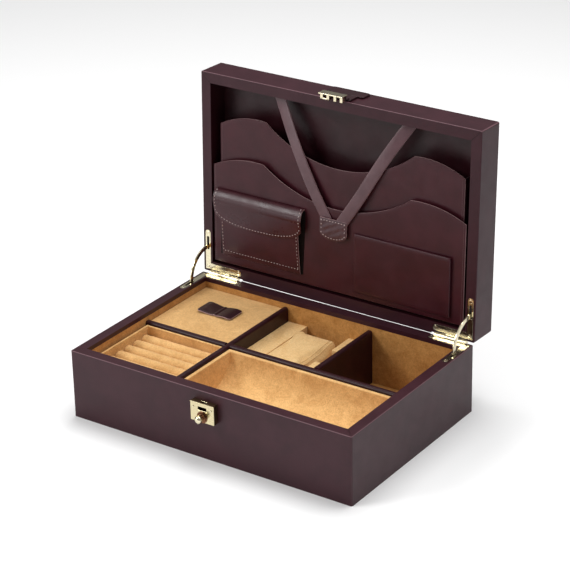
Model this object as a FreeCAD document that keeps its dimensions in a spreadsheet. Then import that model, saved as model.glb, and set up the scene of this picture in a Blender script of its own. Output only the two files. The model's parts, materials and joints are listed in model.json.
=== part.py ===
"""Leather jewellery case: a wooden box covered in leather, its suede-lined base and its organiser lid.

The origin is the centre of the underside of the base. X runs along the long side, -Y is the front with
the lock, and Z is up. Lid pieces are drawn with the lid shut and then swung open about the hinge axis.
"""
import FreeCAD, Part
import math
import os
import re

from FreeCAD import Placement, Rotation, Vector

doc = FreeCAD.newDocument("JewelleryCase")

# --- driving dimensions -------------------------------------------------------------------------------
DIMENSIONS = {
    # case
    "case_width": 360,
    "case_depth": 241,
    "base_height": 80,
    "lid_height": 36,
    "rim_gap": 0.3,
    "skin": 1.2,
    "board": 10,
    "lining": 1.3,
    "corner_round": 1.8,
    "rim_round": 0.9,
    "lip_stand": 1.3,
    "lip_half": 126,
    "lip_tall": 12,
    "lip_round": 0.6,
    "floor_board": 4,
    "lining_drop": 5,
    "lid_board": 6.6,
    "open_angle": 92,
    "hinge_setback": 1.4,
    "hinge_drop": 0.3,
    # dividers and compartments of the base
    "divider": 7,
    "divider_top": 70.5,
    "divider_offset": 56,
    "cross_offset": 2,
    "insert_gap": 0.4,
    "insert_top": 67.4,
    # ring tray
    "tray_wall": 2.6,
    "tray_side_gap": 2.5,
    "roll_count": 6,
    "roll_pitch": 15.4,
    "roll_radius": 7.4,
    "roll_top": 60,
    # scoop tray
    "scoop_lip": 4.5,
    "scoop_radius": 36,
    "scoop_floor": 34,
    # cover of the closed compartment
    "cover_thick": 2.6,
    "ledge_width": 3,
    "tab_length": 46,
    "tab_width": 26,
    "tab_thick": 3.6,
    "tab_offset": 6,
    # watch pillow
    "pillow_top": 54,
    "pillow_floor": 14,
    "ledge_left_edge": -26.8,
    "ledge_right_edge": 28.5,
    "pillow_end": 22,
    "pillow_back": 95,
    "notch_depth": 20,
    "notch_front": 41,
    "notch_back": 73,
    # corner hinges
    "leaf_thick": 1.5,
    "leaf_arm": 7,
    "leaf_side_reach": 51,
    "leaf_back_reach": 52,
    "leaf_inset": 2.8,
    "knuckle_radius": 3.0,
    "knuckle_length": 13,
    "pin_radius": 1.2,
    "screw_head": 2.2,
    "screw_shank": 1.1,
    "screw_length": 9,
    "stay_radius": 32.3,
    "stay_width": 5,
    "stay_thick": 1.6,
    "stay_room": 0.8,
    "leaf_slot": 16,
    "leaf_room": 0.5,
    # lock and hasp
    "lock_width": 30,
    "lock_height": 22,
    "lock_depth": 7,
    "lock_top": 69.4,
    "lock_wall": 1.2,
    "knob_height": 53.5,
    "knob_radius": 4,
    "knob_length": 9,
    "spindle_radius": 2,
    "plate_gap": 0.2,
    "rosette_rim": 2.6,
    "rosette_thick": 0.7,
    "wing_reach": 6,
    "wing_half": 1,
    "wing_low": 1,
    "wing_high": 4,
    "window_half": 5.5,
    "window_low": 61,
    "window_high": 65,
    "rivet_radius": 1.1,
    "rivet_stand": 0.6,
    "rivet_offset": 11.5,
    "rivet_height": 63.5,
    "mouth_half": 3.5,
    "mouth_front": 5,
    "mouth_back": 2,
    "hasp_width": 30.6,
    "hasp_depth": 10.7,
    "hasp_thick": 1.2,
    "hasp_stand": 7.6,
    "hasp_reach": 12.4,
    "leg_low": 2.6,
    "leg_high": 7,
    "leg_foot": 1.2,
    "leg_half": 1.7,
    "leg_outer": 12.5,
    "leg_inner": 4.5,
    "tongue_half": 17,
    "tongue_neck_half": 14.5,
    "tongue_thick": 1.4,
    "tongue_back": 2.4,
    "tongue_gap": 0.3,
    "tongue_low": 2.5,
    "tongue_end": 16,
    "tongue_fold": 3.2,
    "root_half": 24,
    "root_low": 16.4,
    "root_end": 32,
    # organiser of the lid
    "lid_floor": 27,
    "back_pocket_depth": 6,
    "front_pocket_depth": 0.6,
    "leather": 1.5,
    "back_pocket_half": 158.5,
    "front_pocket_half": 164.5,
    "back_pocket_peak": 194.5,
    "front_pocket_peak": 146,
    "pocket_bottom": 16,
    "peak_half": 96,
    "back_pocket_dip": 35.5,
    "front_pocket_dip": 32,
    "lobe_crown": 5,
    "lobe_drop": 13,
    "strap_width": 13.6,
    "strap_thick": 1.4,
    "strap_top_half": 86,
    "strap_top_rise": 227,
    "strap_top_depth": 17,
    "strap_bend_rise": 182,
    "shield_half": 17.5,
    "shield_top": 103.5,
    "shield_side": 88,
    "shield_sag": 9.5,
    "shield_stand": 5.2,
    "shield_thick": 3.2,
    "pouch_left": -156,
    "pouch_right": -44,
    "pouch_bottom": 26,
    "pouch_top": 105,
    "pouch_stand": 8,
    "flap_thick": 1.5,
    "flap_side": 84,
    "flap_dip": 18,
    "panel_left": 25.5,
    "panel_right": 149,
    "panel_bottom": 22.5,
    "panel_top": 92.5,
    "panel_thick": 4.2,
}

sheet = doc.addObject("Spreadsheet::Sheet", "Dims")
for row, (alias, value) in enumerate(DIMENSIONS.items(), start=1):
    sheet.set("A%d" % row, alias)
    sheet.set("B%d" % row, str(value))
    sheet.setAlias("B%d" % row, alias)
doc.recompute()


def ex(text):
    """An expression with every dimension's name turned into its cell of the sheet."""
    return re.sub(r"[a-z_]+", lambda m: "Dims." + m[0] if m[0] in DIMENSIONS else m[0], str(text))


def val(text):
    """The number that an expression of the sheet's dimensions stands for."""
    cells = {alias: float(sheet.get(alias)) for alias in re.findall(r"[a-z_]+", str(text))}
    for alias, number in sorted(cells.items(), key=lambda item: -len(item[0])):
        text = re.sub(r"\b%s\b" % alias, "(%r)" % number, text)
    total = sheet.evalExpression(text)
    return float(total)


# --- building blocks ----------------------------------------------------------------------------------
def block(name, x, y, z):
    """A box between two expressions along each axis."""
    box = doc.addObject("Part::Box", name)
    for size, axis, (low, high) in zip(("Length", "Width", "Height"), "xyz", (x, y, z)):
        box.setExpression(size, ex("(%s) - (%s)" % (high, low)))
        box.setExpression("Placement.Base." + axis, ex(low))
    return box


TURNS = {
    "x": Rotation(Vector(0, 1, 0), 90),
    "y": Rotation(Vector(1, 0, 0), -90),
    "z": Rotation(Vector(0, 0, 1), 0),
}


def rod(name, radius, along, start, length):
    """A cylinder from a start point, along an axis."""
    cylinder = doc.addObject("Part::Cylinder", name)
    cylinder.Placement = Placement(Vector(0, 0, 0), TURNS[along])
    cylinder.setExpression("Radius", ex(radius))
    cylinder.setExpression("Height", ex(length))
    for axis, place in zip("xyz", start):
        cylinder.setExpression("Placement.Base." + axis, ex(place))
    return cylinder


def cut(name, base, *tools):
    """The base with each tool cut away in turn."""
    for number, tool in enumerate(tools, start=1):
        step = doc.addObject("Part::Cut", name if number == len(tools) else "%s_step%d" % (name, number))
        step.Base = base
        step.Tool = tool
        base = step
    return base


def fuse(name, *pieces):
    """One solid made of several."""
    union = doc.addObject("Part::MultiFuse", name)
    union.Shapes = list(pieces)
    union.Refine = True
    return union


def group(name, *pieces):
    """Separate solids that share one node."""
    together = doc.addObject("Part::Compound", name)
    together.Links = list(pieces)
    return together


def shaped(name, solid):
    """A solid made with Part's own functions."""
    feature = doc.addObject("Part::Feature", name)
    feature.Shape = solid
    return feature


def rounded(name, source, radius, wanted):
    """The source with the wanted edges rounded."""
    doc.recompute()
    fillet = doc.addObject("Part::Fillet", name)
    fillet.Base = source
    size = val(radius) if isinstance(radius, str) else radius
    fillet.Edges = [(n, size, size) for n, edge in enumerate(source.Shape.Edges, start=1) if wanted(edge)]
    return fillet


def runs_along(axis):
    """A test for straight edges parallel to an axis."""
    return lambda edge: abs(abs(edge.tangentAt(edge.FirstParameter).dot(axis)) - 1) < 1e-6


def lies_at_height(height):
    """A test for edges that lie wholly at one height."""
    return lambda edge: all(abs(vertex.Z - height) < 1e-6 for vertex in edge.Vertexes)


NODES = []


def node(label, piece, on_lid=False):
    """Names a finished sub-part and, for a piece of the lid, swings it open with the lid."""
    piece.Label = label
    if on_lid:
        piece.Placement = Placement(Vector(0, 0, 0), Rotation(Vector(-1, 0, 0), val("open_angle")))
        piece.setExpression("Placement.Rotation.Angle", ex("open_angle"))
        piece.setExpression(
            "Placement.Base.y",
            ex("(%s) * (1 - cos(open_angle)) - (%s) * sin(open_angle)" % (HINGE_Y, HINGE_Z)),
        )
        piece.setExpression(
            "Placement.Base.z",
            ex("(%s) * (1 - cos(open_angle)) + (%s) * sin(open_angle)" % (HINGE_Z, HINGE_Y)),
        )
    NODES.append(piece)
    return piece


# --- places used all over the case, as expressions ----------------------------------------------------
HINGE_Y = "case_depth / 2 + hinge_setback"
HINGE_Z = "base_height - hinge_drop"
RIM = "base_height + rim_gap"
OUT_X = "case_width / 2"
OUT_Y = "case_depth / 2"
WOOD_X = "case_width / 2 - skin"
WOOD_Y = "case_depth / 2 - skin"
LINED_X = "case_width / 2 - skin - board"
LINED_Y = "case_depth / 2 - skin - board"
IN_X = "case_width / 2 - skin - board - lining"
IN_Y = "case_depth / 2 - skin - board - lining"
FLOOR = "skin + floor_board + lining"
CROSS_FRONT = "-cross_offset - divider / 2"
CROSS_BACK = "-cross_offset + divider / 2"
LEFT_FACE = "-divider_offset - divider / 2"
MIDDLE_LEFT = "-divider_offset + divider / 2"
MIDDLE_RIGHT = "divider_offset - divider / 2"
RIGHT_FACE = "divider_offset + divider / 2"
ARM_MID = "case_width / 2 - leaf_inset - leaf_arm / 2"
BACK_ARM_MID = "case_depth / 2 - leaf_inset - leaf_arm / 2"
LEAF_END_X = "case_width / 2 - leaf_back_reach"
LEAF_END_Y = "case_depth / 2 - leaf_side_reach"


def up(rise):
    """Height above the lid's rim plane, into the lid, as the lid lies shut."""
    return "(%s) + (%s)" % (RIM, rise)


def along(rise):
    """Distance up the open lid from its hinge side, as a place along Y with the lid shut."""
    return "(%s) - (%s)" % (OUT_Y, rise)


def both(text):
    """A range from minus an expression to plus it."""
    return "-(%s)" % text, text


# --- corner hinges: shared by base and lid ------------------------------------------------------------
def leaf_outline(side, z_low, thickness, grow=0.0):
    """An L-shaped leaf with rounded arm ends, in the back corner on one side."""
    arm = val("leaf_arm") / 2 + grow
    middle_x, middle_y = val(ARM_MID), val(BACK_ARM_MID)
    end_x, end_y = val(LEAF_END_X) + val("leaf_arm") / 2, val(LEAF_END_Y) + val("leaf_arm") / 2
    height = thickness + grow
    side_arm = Part.makeBox(2 * arm, middle_y + arm - end_y, height, Vector(middle_x - arm, end_y, z_low))
    back_arm = Part.makeBox(middle_x + arm - end_x, 2 * arm, height, Vector(end_x, middle_y - arm, z_low))
    side_end = Part.makeCylinder(arm, height, Vector(middle_x, end_y, z_low))
    back_end = Part.makeCylinder(arm, height, Vector(end_x, middle_y, z_low))
    leaf = side_arm.fuse([back_arm, side_end, back_end]).removeSplitter()
    return leaf if side > 0 else leaf.mirror(Vector(0, 0, 0), Vector(1, 0, 0))


def knuckle_spans():
    """The stretches of the knuckle barrel along X: base, lid, base."""
    start = val(LEAF_END_X) + 3
    length, gap = val("knuckle_length"), 0.3
    return [(start + n * (length + gap), start + n * (length + gap) + length) for n in range(3)]


def arc_strip(radius_in, radius_out, low, high, x_from, thickness):
    """A flat arc about the hinge axis. Angles are in degrees up from straight towards the front."""
    centre = Vector(x_from, val(HINGE_Y), val(HINGE_Z))

    def at(radius, angle):
        turn = math.radians(angle)
        return centre + Vector(0, -radius * math.cos(turn), radius * math.sin(turn))

    middle = (low + high) / 2
    outer = Part.Arc(at(radius_out, low), at(radius_out, middle), at(radius_out, high)).toShape()
    inner = Part.Arc(at(radius_in, high), at(radius_in, middle), at(radius_in, low)).toShape()
    ends = [
        Part.makeLine(at(radius_out, high), at(radius_in, high)),
        Part.makeLine(at(radius_in, low), at(radius_out, low)),
    ]
    outline = Part.Wire([outer, ends[0], inner, ends[1]])
    return Part.Face(outline).extrude(Vector(thickness, 0, 0))


STAY_ENDS = (-6, 98)
HALF_TURN = val("open_angle") / 2


def stay(side, room=0.0, low=STAY_ENDS[0], high=STAY_ENDS[1]):
    """The curved stay of one side, or with room the slot that it runs in."""
    radius, width, thick = val("stay_radius"), val("stay_width") / 2 + room, val("stay_thick") + 2 * room
    middle = side * val(ARM_MID)
    return arc_strip(radius - width, radius + width, low, high, middle - thick / 2, thick)


def screw(x, y, z, turn_over=False):
    """A countersunk wood screw, head up, or head down for the lid."""
    head, shank, length = val("screw_head"), val("screw_shank"), val("screw_length")
    cone_height = head - shank
    cone = Part.makeCone(shank, head, cone_height, Vector(0, 0, -cone_height))
    body = Part.makeCylinder(shank, length - cone_height, Vector(0, 0, -length))
    solid = cone.fuse(body).removeSplitter()
    if turn_over:
        solid.rotate(Vector(0, 0, 0), Vector(1, 0, 0), 180)
    solid.translate(Vector(x, y, z))
    return solid


def screw_places():
    """Centres of the three screws of each leaf, on both sides."""
    end_x, end_y = val(LEAF_END_X) + val("leaf_arm") / 2, val(LEAF_END_Y) + val("leaf_arm") / 2
    middle_x, middle_y = val(ARM_MID), val(BACK_ARM_MID)
    places = [(middle_x, end_y), (end_x, middle_y), (middle_x, middle_y)]
    return [(side * x, y) for side in (-1, 1) for x, y in places]


def leaf(side, is_lid):
    """A hinge leaf with its knuckles, stay slot and screw holes."""
    thickness = val("leaf_thick")
    z_low = val(RIM) + 0.1 if is_lid else val("base_height") - 0.1 - thickness
    plate = leaf_outline(side, z_low, thickness)
    axis_y, axis_z, radius = val(HINGE_Y), val(HINGE_Z), val("knuckle_radius")
    spans = knuckle_spans()
    mine = [spans[1]] if is_lid else [spans[0], spans[2]]
    back_y = val(BACK_ARM_MID)
    for low, high in mine:
        x_low = low if side > 0 else -high
        link_low = axis_z if is_lid else z_low
        link_high = z_low + thickness if is_lid else axis_z + 0.4
        barrel = Part.makeCylinder(radius, high - low, Vector(x_low, axis_y, axis_z), Vector(1, 0, 0))
        link = Part.makeBox(high - low, axis_y - back_y, thickness, Vector(x_low, back_y, z_low))
        web_start = Vector(x_low, axis_y - radius, link_low)
        web = Part.makeBox(high - low, radius, link_high - link_low, web_start)
        plate = plate.fuse([barrel, link, web])
    for low, high in [span for span in spans if span not in mine]:
        room_start = Vector((low if side > 0 else -high) - 0.3, axis_y, axis_z)
        room = Part.makeCylinder(radius + 0.35, high - low + 0.6, room_start, Vector(1, 0, 0))
        plate = plate.cut(room)
    bore_start = Vector(side * 150 - 30, axis_y, axis_z)
    bore = Part.makeCylinder(val("pin_radius") + 0.05, 60, bore_start, Vector(1, 0, 0))
    plate = plate.cut(bore)
    slot_ends = (-8, 12) if is_lid else (-12, 8)
    plate = plate.cut(stay(side, val("stay_room"), *slot_ends))
    slot_wide = val("stay_thick") + 2 * val("stay_room")
    slot_y = axis_y - val("stay_radius") - 0.75 * val("leaf_slot")
    slot_start = Vector(side * val(ARM_MID) - slot_wide / 2, slot_y, z_low - 1)
    plate = plate.cut(Part.makeBox(slot_wide, val("leaf_slot"), thickness + 2, slot_start))
    for x, y in screw_places():
        if x * side > 0:
            plate = plate.cut(screw(x, y, z_low if is_lid else z_low + thickness, is_lid))
    return plate.removeSplitter()


def leaf_recess(side, is_lid):
    """What the rim loses for a leaf, its knuckles and the mouth of the stay slot."""
    thickness = val("leaf_thick")
    axis_y, axis_z, radius = val(HINGE_Y), val(HINGE_Z), val("knuckle_radius") + 0.4
    low, high = knuckle_spans()[0][0] - 0.4, knuckle_spans()[2][1] + 0.4
    x_low = low if side > 0 else -high
    z_low = val(RIM) if is_lid else val("base_height") - 0.1 - thickness
    room = val("leaf_room")
    pocket = leaf_outline(side, z_low - room if is_lid else z_low, thickness + 0.1, room)
    barrel = Part.makeCylinder(radius, high - low, Vector(x_low, axis_y, axis_z), Vector(1, 0, 0))
    notch = Part.makeBox(high - low, 10, thickness + 0.1, Vector(x_low, val(BACK_ARM_MID), z_low))
    return pocket.fuse([barrel, notch]).removeSplitter()


def leather_shell(name, low, high, open_side):
    """The leather skin of base or lid before it is hollowed, with the lip it has between the hinges."""
    body = block(name + "_body", both(OUT_X), both(OUT_Y), (low, high))
    soft = rounded(name + "_corners", body, "corner_round", runs_along(Vector(0, 0, 1)))
    doc.recompute()
    rim_height = val(open_side)
    edged = rounded(name + "_rim", soft, "rim_round", lies_at_height(rim_height))
    below = ("(%s) - lip_tall" % open_side, open_side)
    above = (open_side, "(%s) + lip_tall" % open_side)
    lip_z = below if open_side == high else above
    lip = block(name + "_lip", both("lip_half"), ("(%s) - 2" % OUT_Y, "(%s) + lip_stand" % OUT_Y), lip_z)
    soft_lip = rounded(name + "_lip_soft", lip, "lip_round", lambda edge: True)
    return fuse(name + "_lipped", edged, soft_lip)


# --- base: boards, leather and lining -----------------------------------------------------------------
recesses = {}
for side, word in ((-1, "left"), (1, "right")):
    for part, is_lid in (("base", False), ("lid", True)):
        recesses[part, word] = shaped("%s_recess_%s" % (part, word), leaf_recess(side, is_lid))
    slot_room = val("stay_room")
    recesses["base_slot", word] = shaped("base_slot_" + word, stay(side, slot_room, -HALF_TURN - 10, 8))
    recesses["lid_slot", word] = shaped("lid_slot_" + word, stay(side, slot_room, -8, HALF_TURN + 10))

base_leaf_top = val("base_height") - 0.1
lid_leaf_low = val(RIM) + 0.1
base_screws = Part.makeCompound([screw(x, y, base_leaf_top) for x, y in screw_places()])
lid_screws = Part.makeCompound([screw(x, y, lid_leaf_low, True) for x, y in screw_places()])
base_screw_holes = shaped("base_screw_holes", base_screws)
lid_screw_holes = shaped("lid_screw_holes", lid_screws)


def walls(prefix, heights, on_lid):
    """Four wall boards with their hinge recesses, stay slots and screw holes."""
    holes = lid_screw_holes if on_lid else base_screw_holes
    lefts = (recesses[prefix, "left"], recesses[prefix + "_slot", "left"], holes)
    rights = (recesses[prefix, "right"], recesses[prefix + "_slot", "right"], holes)
    front_x = both(LINED_X)
    front = block(prefix + "_front_board", front_x, ("-(%s)" % WOOD_Y, "-(%s)" % LINED_Y), heights)
    node(prefix + "_front_wall", group(prefix + "_front_wall_group", front), on_lid)
    back = block(prefix + "_back_board", front_x, (LINED_Y, WOOD_Y), heights)
    back_cut = cut(prefix + "_back_cut", back, recesses[prefix, "left"], recesses[prefix, "right"], holes)
    node(prefix + "_back_wall", back_cut, on_lid)
    left = block(prefix + "_left_board", ("-(%s)" % WOOD_X, "-(%s)" % LINED_X), both(WOOD_Y), heights)
    node(prefix + "_left_wall", cut(prefix + "_left_cut", left, *lefts), on_lid)
    right = block(prefix + "_right_board", (LINED_X, WOOD_X), both(WOOD_Y), heights)
    node(prefix + "_right_wall", cut(prefix + "_right_cut", right, *rights), on_lid)


walls("base", ("skin", "base_height - skin"), False)

sole_block = block("sole_block", both(OUT_X), both(OUT_Y), ("0", "skin"))
node("base_sole", rounded("sole", sole_block, "corner_round", runs_along(Vector(0, 0, 1))))
BOTTOM_BOARD = ("skin", "skin + floor_board")
node("base_bottom_board", block("bottom_board", both(LINED_X), both(LINED_Y), BOTTOM_BOARD))

base_skin = leather_shell("base_skin", "skin", "base_height", "base_height")
base_hollow = block("base_hollow", both(WOOD_X), both(WOOD_Y), ("0", "base_height - skin"))
base_mouth = block("base_mouth", both(IN_X), both(IN_Y), ("base_height - 2 * skin", "base_height + 1"))
base_cover = cut("base_cover", base_skin, base_hollow, base_mouth)
TURNED_IN = ("base_height - lining_drop", "base_height - skin")
turn_in_outer = block("turn_in_outer", both(LINED_X), both(LINED_Y), TURNED_IN)
PAST_TURN_IN = ("base_height - lining_drop - 1", "base_height")
turn_in_inner = block("turn_in_inner", both(IN_X), both(IN_Y), PAST_TURN_IN)
turn_in = cut("turn_in", turn_in_outer, turn_in_inner)
base_wrap = fuse("base_wrap", base_cover, turn_in)
base_leather = cut(
    "base_leather_cut",
    base_wrap,
    recesses["base", "left"],
    recesses["base", "right"],
    recesses["base_slot", "left"],
    recesses["base_slot", "right"],
    base_screw_holes,
)
node("base_leather", base_leather)

LINING_TALL = ("skin + floor_board", "base_height - lining_drop")
lining_outer = block("lining_outer", both(LINED_X), both(LINED_Y), LINING_TALL)
lining_inner = block("lining_inner", both(IN_X), both(IN_Y), ("skin", "base_height"))
node("wall_lining", cut("wall_lining_ring", lining_outer, lining_inner))
node("floor_lining", block("floor_lining_block", both(IN_X), both(IN_Y), ("skin + floor_board", FLOOR)))


# --- dividers: leather-covered boards with rounded tops -----------------------------------------------
def divider(label, x, y, top_axis):
    """A divider standing on the floor lining; its two long top edges are rounded."""
    board = block(label + "_board", x, y, (FLOOR, "divider_top"))
    doc.recompute()
    top = val("divider_top")
    along_top = runs_along(top_axis)
    is_top = lies_at_height(top)
    node(label, rounded(label + "_round", board, 2.6, lambda edge: is_top(edge) and along_top(edge)))


AXIS_X, AXIS_Y = Vector(1, 0, 0), Vector(0, 1, 0)
divider("long_divider", (LEFT_FACE, MIDDLE_LEFT), both(IN_Y), AXIS_Y)
divider("cross_divider_left", ("-(%s)" % IN_X, LEFT_FACE), (CROSS_FRONT, CROSS_BACK), AXIS_X)
divider("cross_divider_right", (MIDDLE_LEFT, IN_X), (CROSS_FRONT, CROSS_BACK), AXIS_X)
divider("back_divider", (MIDDLE_RIGHT, RIGHT_FACE), (CROSS_BACK, IN_Y), AXIS_Y)


# --- front left: ring tray ----------------------------------------------------------------------------
TRAY_LEFT = "-(%s) + tray_side_gap" % IN_X
TRAY_RIGHT = "(%s) - insert_gap" % LEFT_FACE
TRAY_FRONT = "-(%s) + insert_gap" % IN_Y
TRAY_BACK = "(%s) - insert_gap" % CROSS_FRONT
tray_outer = block("tray_outer", (TRAY_LEFT, TRAY_RIGHT), (TRAY_FRONT, TRAY_BACK), (FLOOR, "insert_top"))
tray_inner = block(
    "tray_inner",
    ("(%s) + tray_wall" % TRAY_LEFT, "(%s) - tray_wall" % TRAY_RIGHT),
    ("(%s) + tray_wall" % TRAY_FRONT, "(%s) - tray_wall" % TRAY_BACK),
    ("0", "base_height"),
)
node("ring_tray", cut("ring_tray_frame", tray_outer, tray_inner))
ROLL_BED = "roll_top - 2 * roll_radius"
ring_bed = block(
    "ring_bed_block",
    ("(%s) + tray_wall" % TRAY_LEFT, "(%s) - tray_wall" % TRAY_RIGHT),
    ("(%s) + tray_wall" % TRAY_FRONT, "(%s) - tray_wall" % TRAY_BACK),
    (FLOOR, ROLL_BED),
)
node("ring_bed", ring_bed)
rolls = []
for number in range(int(val("roll_count"))):
    from_back = "(%s) - tray_wall - roll_pitch * %g" % (TRAY_BACK, number + 0.5)
    start = ("(%s) + tray_wall + 0.3" % TRAY_LEFT, from_back, "roll_top - roll_radius")
    length = "(%s) - (%s) - 2 * tray_wall - 0.6" % (TRAY_RIGHT, TRAY_LEFT)
    rolls.append(rod("roll_%d" % (number + 1), "roll_radius", "x", start, length))
node("ring_rolls", group("ring_roll_set", *rolls))


# --- front right: scooped tray ------------------------------------------------------------------------
def scoop_profile():
    """The hollow of the tray across the case: a flat floor that curves up at front and back."""
    back = val(CROSS_FRONT) - val("insert_gap") - val("scoop_lip")
    front = -val(IN_Y) + val("insert_gap") + val("scoop_lip")
    radius, low, top = val("scoop_radius"), val("scoop_floor"), val("insert_top") + 1
    bend = math.radians(45)
    sweep = radius * math.sin(bend)
    rise = radius - radius * math.cos(bend)
    x = val(MIDDLE_LEFT) + val("insert_gap") + val("scoop_lip")

    def at(y, z):
        return Vector(x, y, z)

    bend_low = low + radius - sweep
    back_bend = Part.Arc(at(back, low + radius), at(back - rise, bend_low), at(back - radius, low))
    front_bend = Part.Arc(at(front + radius, low), at(front + rise, bend_low), at(front, low + radius))
    edges = [
        Part.makeLine(at(front, top), at(back, top)),
        Part.makeLine(at(back, top), at(back, low + radius)),
        back_bend.toShape(),
        Part.makeLine(at(back - radius, low), at(front + radius, low)),
        front_bend.toShape(),
        Part.makeLine(at(front, low + radius), at(front, top)),
    ]
    return Part.Wire(edges)


scoop_length = val(IN_X) - val(MIDDLE_LEFT) - 2 * val("insert_gap") - 2 * val("scoop_lip")
scoop_block = block(
    "scoop_block",
    ("(%s) + insert_gap" % MIDDLE_LEFT, "(%s) - insert_gap" % IN_X),
    (TRAY_FRONT, TRAY_BACK),
    (FLOOR, "insert_top"),
)
scoop_hollow = shaped("scoop_hollow", Part.Face(scoop_profile()).extrude(Vector(scoop_length, 0, 0)))
node("scoop_tray", cut("scoop_tray_cut", scoop_block, scoop_hollow))


# --- back left: closed compartment with its lift-out cover --------------------------------------------
COVER_TOP = "insert_top + 0.6"
COVER_LOW = "(%s) - cover_thick" % COVER_TOP
LEDGE_TOP = "(%s) - 0.1" % COVER_LOW
LEDGE_RUN = (CROSS_BACK, IN_Y)
ledges = [
    block("ledge_left", ("-(%s)" % IN_X, "-(%s) + ledge_width" % IN_X), LEDGE_RUN, (FLOOR, LEDGE_TOP)),
    block("ledge_right", ("(%s) - ledge_width" % LEFT_FACE, LEFT_FACE), LEDGE_RUN, (FLOOR, LEDGE_TOP)),
]
node("cover_ledges", group("cover_ledge_pair", *ledges))
COVER_X = ("-(%s) + insert_gap" % IN_X, "(%s) - insert_gap" % LEFT_FACE)
COVER_Y = ("(%s) + insert_gap" % CROSS_BACK, "(%s) - insert_gap" % IN_Y)
node("compartment_cover", block("cover_block", COVER_X, COVER_Y, (COVER_LOW, COVER_TOP)))
TAB_X = "(-(%s) + (%s)) / 2" % (IN_X, LEFT_FACE)
TAB_Y = "((%s) + (%s)) / 2 + tab_offset" % (CROSS_BACK, IN_Y)
tab_block = block(
    "pull_tab_block",
    ("(%s) - tab_length / 2" % TAB_X, "(%s) + tab_length / 2" % TAB_X),
    ("(%s) - tab_width / 2" % TAB_Y, "(%s) + tab_width / 2" % TAB_Y),
    (COVER_TOP, "(%s) + tab_thick" % COVER_TOP),
)
node("pull_tab", rounded("pull_tab_round", tab_block, 3.0, runs_along(Vector(0, 0, 1))))


# --- back middle: watch pillow between its ledges -----------------------------------------------------
PILLOW_FRONT = "(%s) + 3" % CROSS_BACK
ledge_bar = block("ledge_bar", (MIDDLE_LEFT, "ledge_left_edge"), LEDGE_RUN, (FLOOR, "pillow_top - 0.5"))
node("watch_ledge_left", ledge_bar)
right_block = block("right_block", ("ledge_right_edge", MIDDLE_RIGHT), LEDGE_RUN, (FLOOR, "pillow_top"))
finger_notch = block(
    "finger_notch",
    ("ledge_right_edge - 1", "ledge_right_edge + notch_depth"),
    ("notch_front", "notch_back"),
    (FLOOR, "base_height"),
)
node("watch_ledge_right", cut("watch_ledge_right_cut", right_block, finger_notch))
pillow_block = block(
    "pillow_block",
    ("ledge_left_edge + insert_gap", "pillow_end"),
    (PILLOW_FRONT, "pillow_back"),
    ("pillow_floor", "pillow_top"),
)
doc.recompute()


def is_pillow_nose(edge):
    """The long edges of the pillow's free end."""
    at_end = all(abs(vertex.X - val("pillow_end")) < 1e-6 for vertex in edge.Vertexes)
    return at_end and runs_along(AXIS_Y)(edge)


node("watch_pillow", rounded("pillow_round", pillow_block, 12.0, is_pillow_nose))
stand_block = block(
    "pillow_stand_block",
    ("ledge_left_edge", "pillow_end - 6"),
    (PILLOW_FRONT, "pillow_back"),
    (FLOOR, "pillow_floor - 0.2"),
)
node("pillow_stand", stand_block)

# --- lid: boards, leather, lining ---------------------------------------------------------------------
LID_WALL_TOP = up("lid_floor + lining")
LID_BOARD_TOP = up("lid_height - skin")
walls("lid", (up("skin"), LID_WALL_TOP), True)
lid_board = block("lid_board_block", both(WOOD_X), both(WOOD_Y), (LID_WALL_TOP, LID_BOARD_TOP))
node("lid_top_board", group("lid_top_board_group", lid_board), True)

lid_skin = leather_shell("lid_skin", RIM, up("lid_height"), RIM)
lid_hollow = block("lid_hollow", both(WOOD_X), both(WOOD_Y), (up("skin"), LID_BOARD_TOP))
lid_mouth = block("lid_mouth", both(IN_X), both(IN_Y), (up("-1"), up("2 * skin")))
lid_leather = cut(
    "lid_leather_cut",
    lid_skin,
    lid_hollow,
    lid_mouth,
    recesses["lid", "left"],
    recesses["lid", "right"],
    recesses["lid_slot", "left"],
    recesses["lid_slot", "right"],
    lid_screw_holes,
)
node("lid_leather", lid_leather, True)
ring_outer = block("lid_ring_outer", both(LINED_X), both(LINED_Y), (up("skin"), up("lid_floor")))
ring_inner = block("lid_ring_inner", both(IN_X), both(IN_Y), (up("0"), up("lid_floor + 1")))
node("lid_wall_lining", cut("lid_wall_ring", ring_outer, ring_inner), True)
lid_back = block("lid_back_block", both(LINED_X), both(LINED_Y), (up("lid_floor"), LID_WALL_TOP))
node("lid_back_lining", group("lid_back_group", lid_back), True)


# --- lid organiser ------------------------------------------------------------------------------------
def lid_point(x, rise, depth):
    """A point of the lid: distance from its middle, up from its hinge side, and deeper than its rim."""
    return Vector(x, val(OUT_Y) - rise, val(RIM) + depth)


def pocket_outline(half, peak, fall, depth):
    """A pocket front with two raised lobes and a dip between them."""
    dip = val("peak_half")
    low = val("pocket_bottom")
    end = peak - val("lobe_drop")
    lobe_x = (half + dip) / 2
    lobe_rise = (peak + end) / 2 + val("lobe_crown")

    def at(x, rise):
        return lid_point(x, rise, depth)

    return Part.Wire(
        [
            Part.makeLine(at(-half, low), at(-half, end)),
            Part.Arc(at(-half, end), at(-lobe_x, lobe_rise), at(-dip, peak)).toShape(),
            Part.Arc(at(-dip, peak), at(0, peak - fall), at(dip, peak)).toShape(),
            Part.Arc(at(dip, peak), at(lobe_x, lobe_rise), at(half, end)).toShape(),
            Part.makeLine(at(half, end), at(half, low)),
            Part.makeLine(at(half, low), at(-half, low)),
        ]
    )


def pocket_front(half, peak, fall, depth):
    """The leather front of a pocket."""
    return Part.Face(pocket_outline(half, peak, fall, depth)).extrude(Vector(0, 0, val("leather")))


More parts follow.
